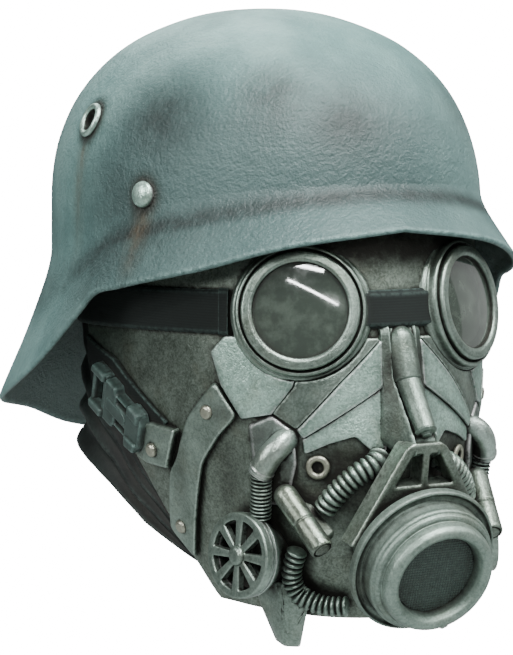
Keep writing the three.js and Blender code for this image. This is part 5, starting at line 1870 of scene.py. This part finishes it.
def white_for_camera(tree, lit, white, output):
    """Shows plain white to the camera and the lit shader to everything else."""
    path = node(tree, "ShaderNodeLightPath")
    both = node(tree, "ShaderNodeMixShader")
    tree.links.new(path.outputs["Is Camera Ray"], both.inputs[0])
    tree.links.new(lit.outputs[0], both.inputs[1])
    tree.links.new(white.outputs[0], both.inputs[2])
    tree.links.new(both.outputs[0], tree.nodes[output].inputs["Surface"])


def floor_finish():
    """Pale sweep that reads as plain white from the camera and only softly lights the object."""
    finish, tree, shader = new_finish("pale_floor", 0.9, 0.0, 0.1)
    pale = mix_color(tree, noise_mm(tree, 400, 2.0), linear(150, 152, 152), linear(156, 158, 158))
    tree.links.new(pale, shader.inputs["Base Color"])
    glow = node(tree, "ShaderNodeEmission")
    glow.inputs["Strength"].default_value = WHITE_GLOW
    white_for_camera(tree, shader, glow, "Material Output")
    return finish


FLOOR = dict(down=0.70, half=4, columns=9)
SWEEP = [(-3.0, 0.0), (1.6, 0.0), (2.3, 0.12), (2.8, 0.5), (3.0, 1.1), (3.0, 4.0)]
view_az, view_tilt, view_far = 26, 6, 1.25
away = -heading(-view_az, 0)
right = np.cross(away, [0, 0, 1])
floor_across = np.linspace(-FLOOR["half"], FLOOR["half"], FLOOR["columns"])
floor_points = []
for y, z in softened(SWEEP, 0.6, 8, 0.25):
    middle = away * y + np.array([0, 0, z - FLOOR["down"]])
    floor_points.append([middle + right * x for x in floor_across])
floor = link("pale_floor", grid(np.array(floor_points) / MM))
floor.data.materials.append(floor_finish())
floor.data.shade_smooth()

target = np.array([0.0, 0.0, -0.178])


def aimed(thing, place, at):
    """Puts a light or camera in its place and points it at something."""
    thing.location = place
    thing.rotation_euler = (Vector(at) - Vector(place)).to_track_quat("-Z", "Y").to_euler()
    bpy.context.scene.collection.objects.link(thing)


# Lights: az and tilt seen from the target, distance, width and height in metres, power, roll
LIGHTS = {
    "top_light": (4, 63, 1.7, 0.9, 0.9, 54, 0),
    "front_light": (24, 12, 2.4, 1.0, 1.0, 7, 0),
    "left_light": (62, 42, 2.2, 0.7, 1.2, 20, 0),
    "low_left_light": (94, 16, 2.2, 1.4, 2.0, 3.5, 0),
    "right_light": (-82, 24, 2.0, 0.8, 1.2, 20, 0),
    "back_light": (172, 44, 2.2, 1.4, 1.2, 14, 0),
    "upper_strip": (-32, 35, 2.5, 0.75, 0.07, 10, -12),
    "lower_strip": (-28, 23, 2.5, 1.2, 0.045, 10, -27),
}


def soft_light(name, az, tilt, far, wide, tall, power, roll):
    lamp = bpy.data.lights.new(name, "AREA")
    lamp.energy = power
    lamp.shape = "RECTANGLE"
    lamp.size = wide
    lamp.size_y = tall
    thing = bpy.data.objects.new(name, lamp)
    aimed(thing, target + heading(az, tilt) * far, target)
    thing.rotation_euler.rotate_axis("Z", math.radians(roll))


for name, row in LIGHTS.items():
    soft_light(name, *row)


def studio_world():
    """Dim soft surroundings for the object, plain white behind it."""
    world = bpy.data.worlds.new("studio")
    world.use_nodes = True
    tree = world.node_tree
    dim = tree.nodes["Background"]
    dim.inputs["Color"].default_value = (0.93, 0.97, 1.0, 1)
    dim.inputs["Strength"].default_value = WORLD_GLOW
    plain = node(tree, "ShaderNodeBackground")
    plain.inputs["Color"].default_value = (1, 1, 1, 1)
    plain.inputs["Strength"].default_value = WHITE_GLOW
    white_for_camera(tree, dim, plain, "World Output")
    return world


bpy.context.scene.world = studio_world()

# The photograph's frame is 513 by 655; the target sits a little right of and above its middle
PHOTO = dict(wide=513, tall=655, pixels_per_unit=2155, target_x=267, target_y=322)
SENSOR = 36
lens_camera = bpy.data.cameras.new("photo_camera")
lens_camera.sensor_fit = "VERTICAL"
lens_camera.sensor_height = SENSOR
lens_camera.lens = PHOTO["pixels_per_unit"] * SENSOR / PHOTO["tall"]
lens_camera.clip_start = 0.05
camera = bpy.data.objects.new("photo_camera", lens_camera)
eye = target + heading(-view_az, view_tilt) * view_far
per_pixel = view_far / PHOTO["pixels_per_unit"]
above = np.cross(right, (target - eye) / view_far)
aim = target - right * (PHOTO["target_x"] - PHOTO["wide"] / 2) * per_pixel
aim = aim + above * (PHOTO["target_y"] - PHOTO["tall"] / 2) * per_pixel
aimed(camera, eye, aim)
bpy.context.scene.camera = camera
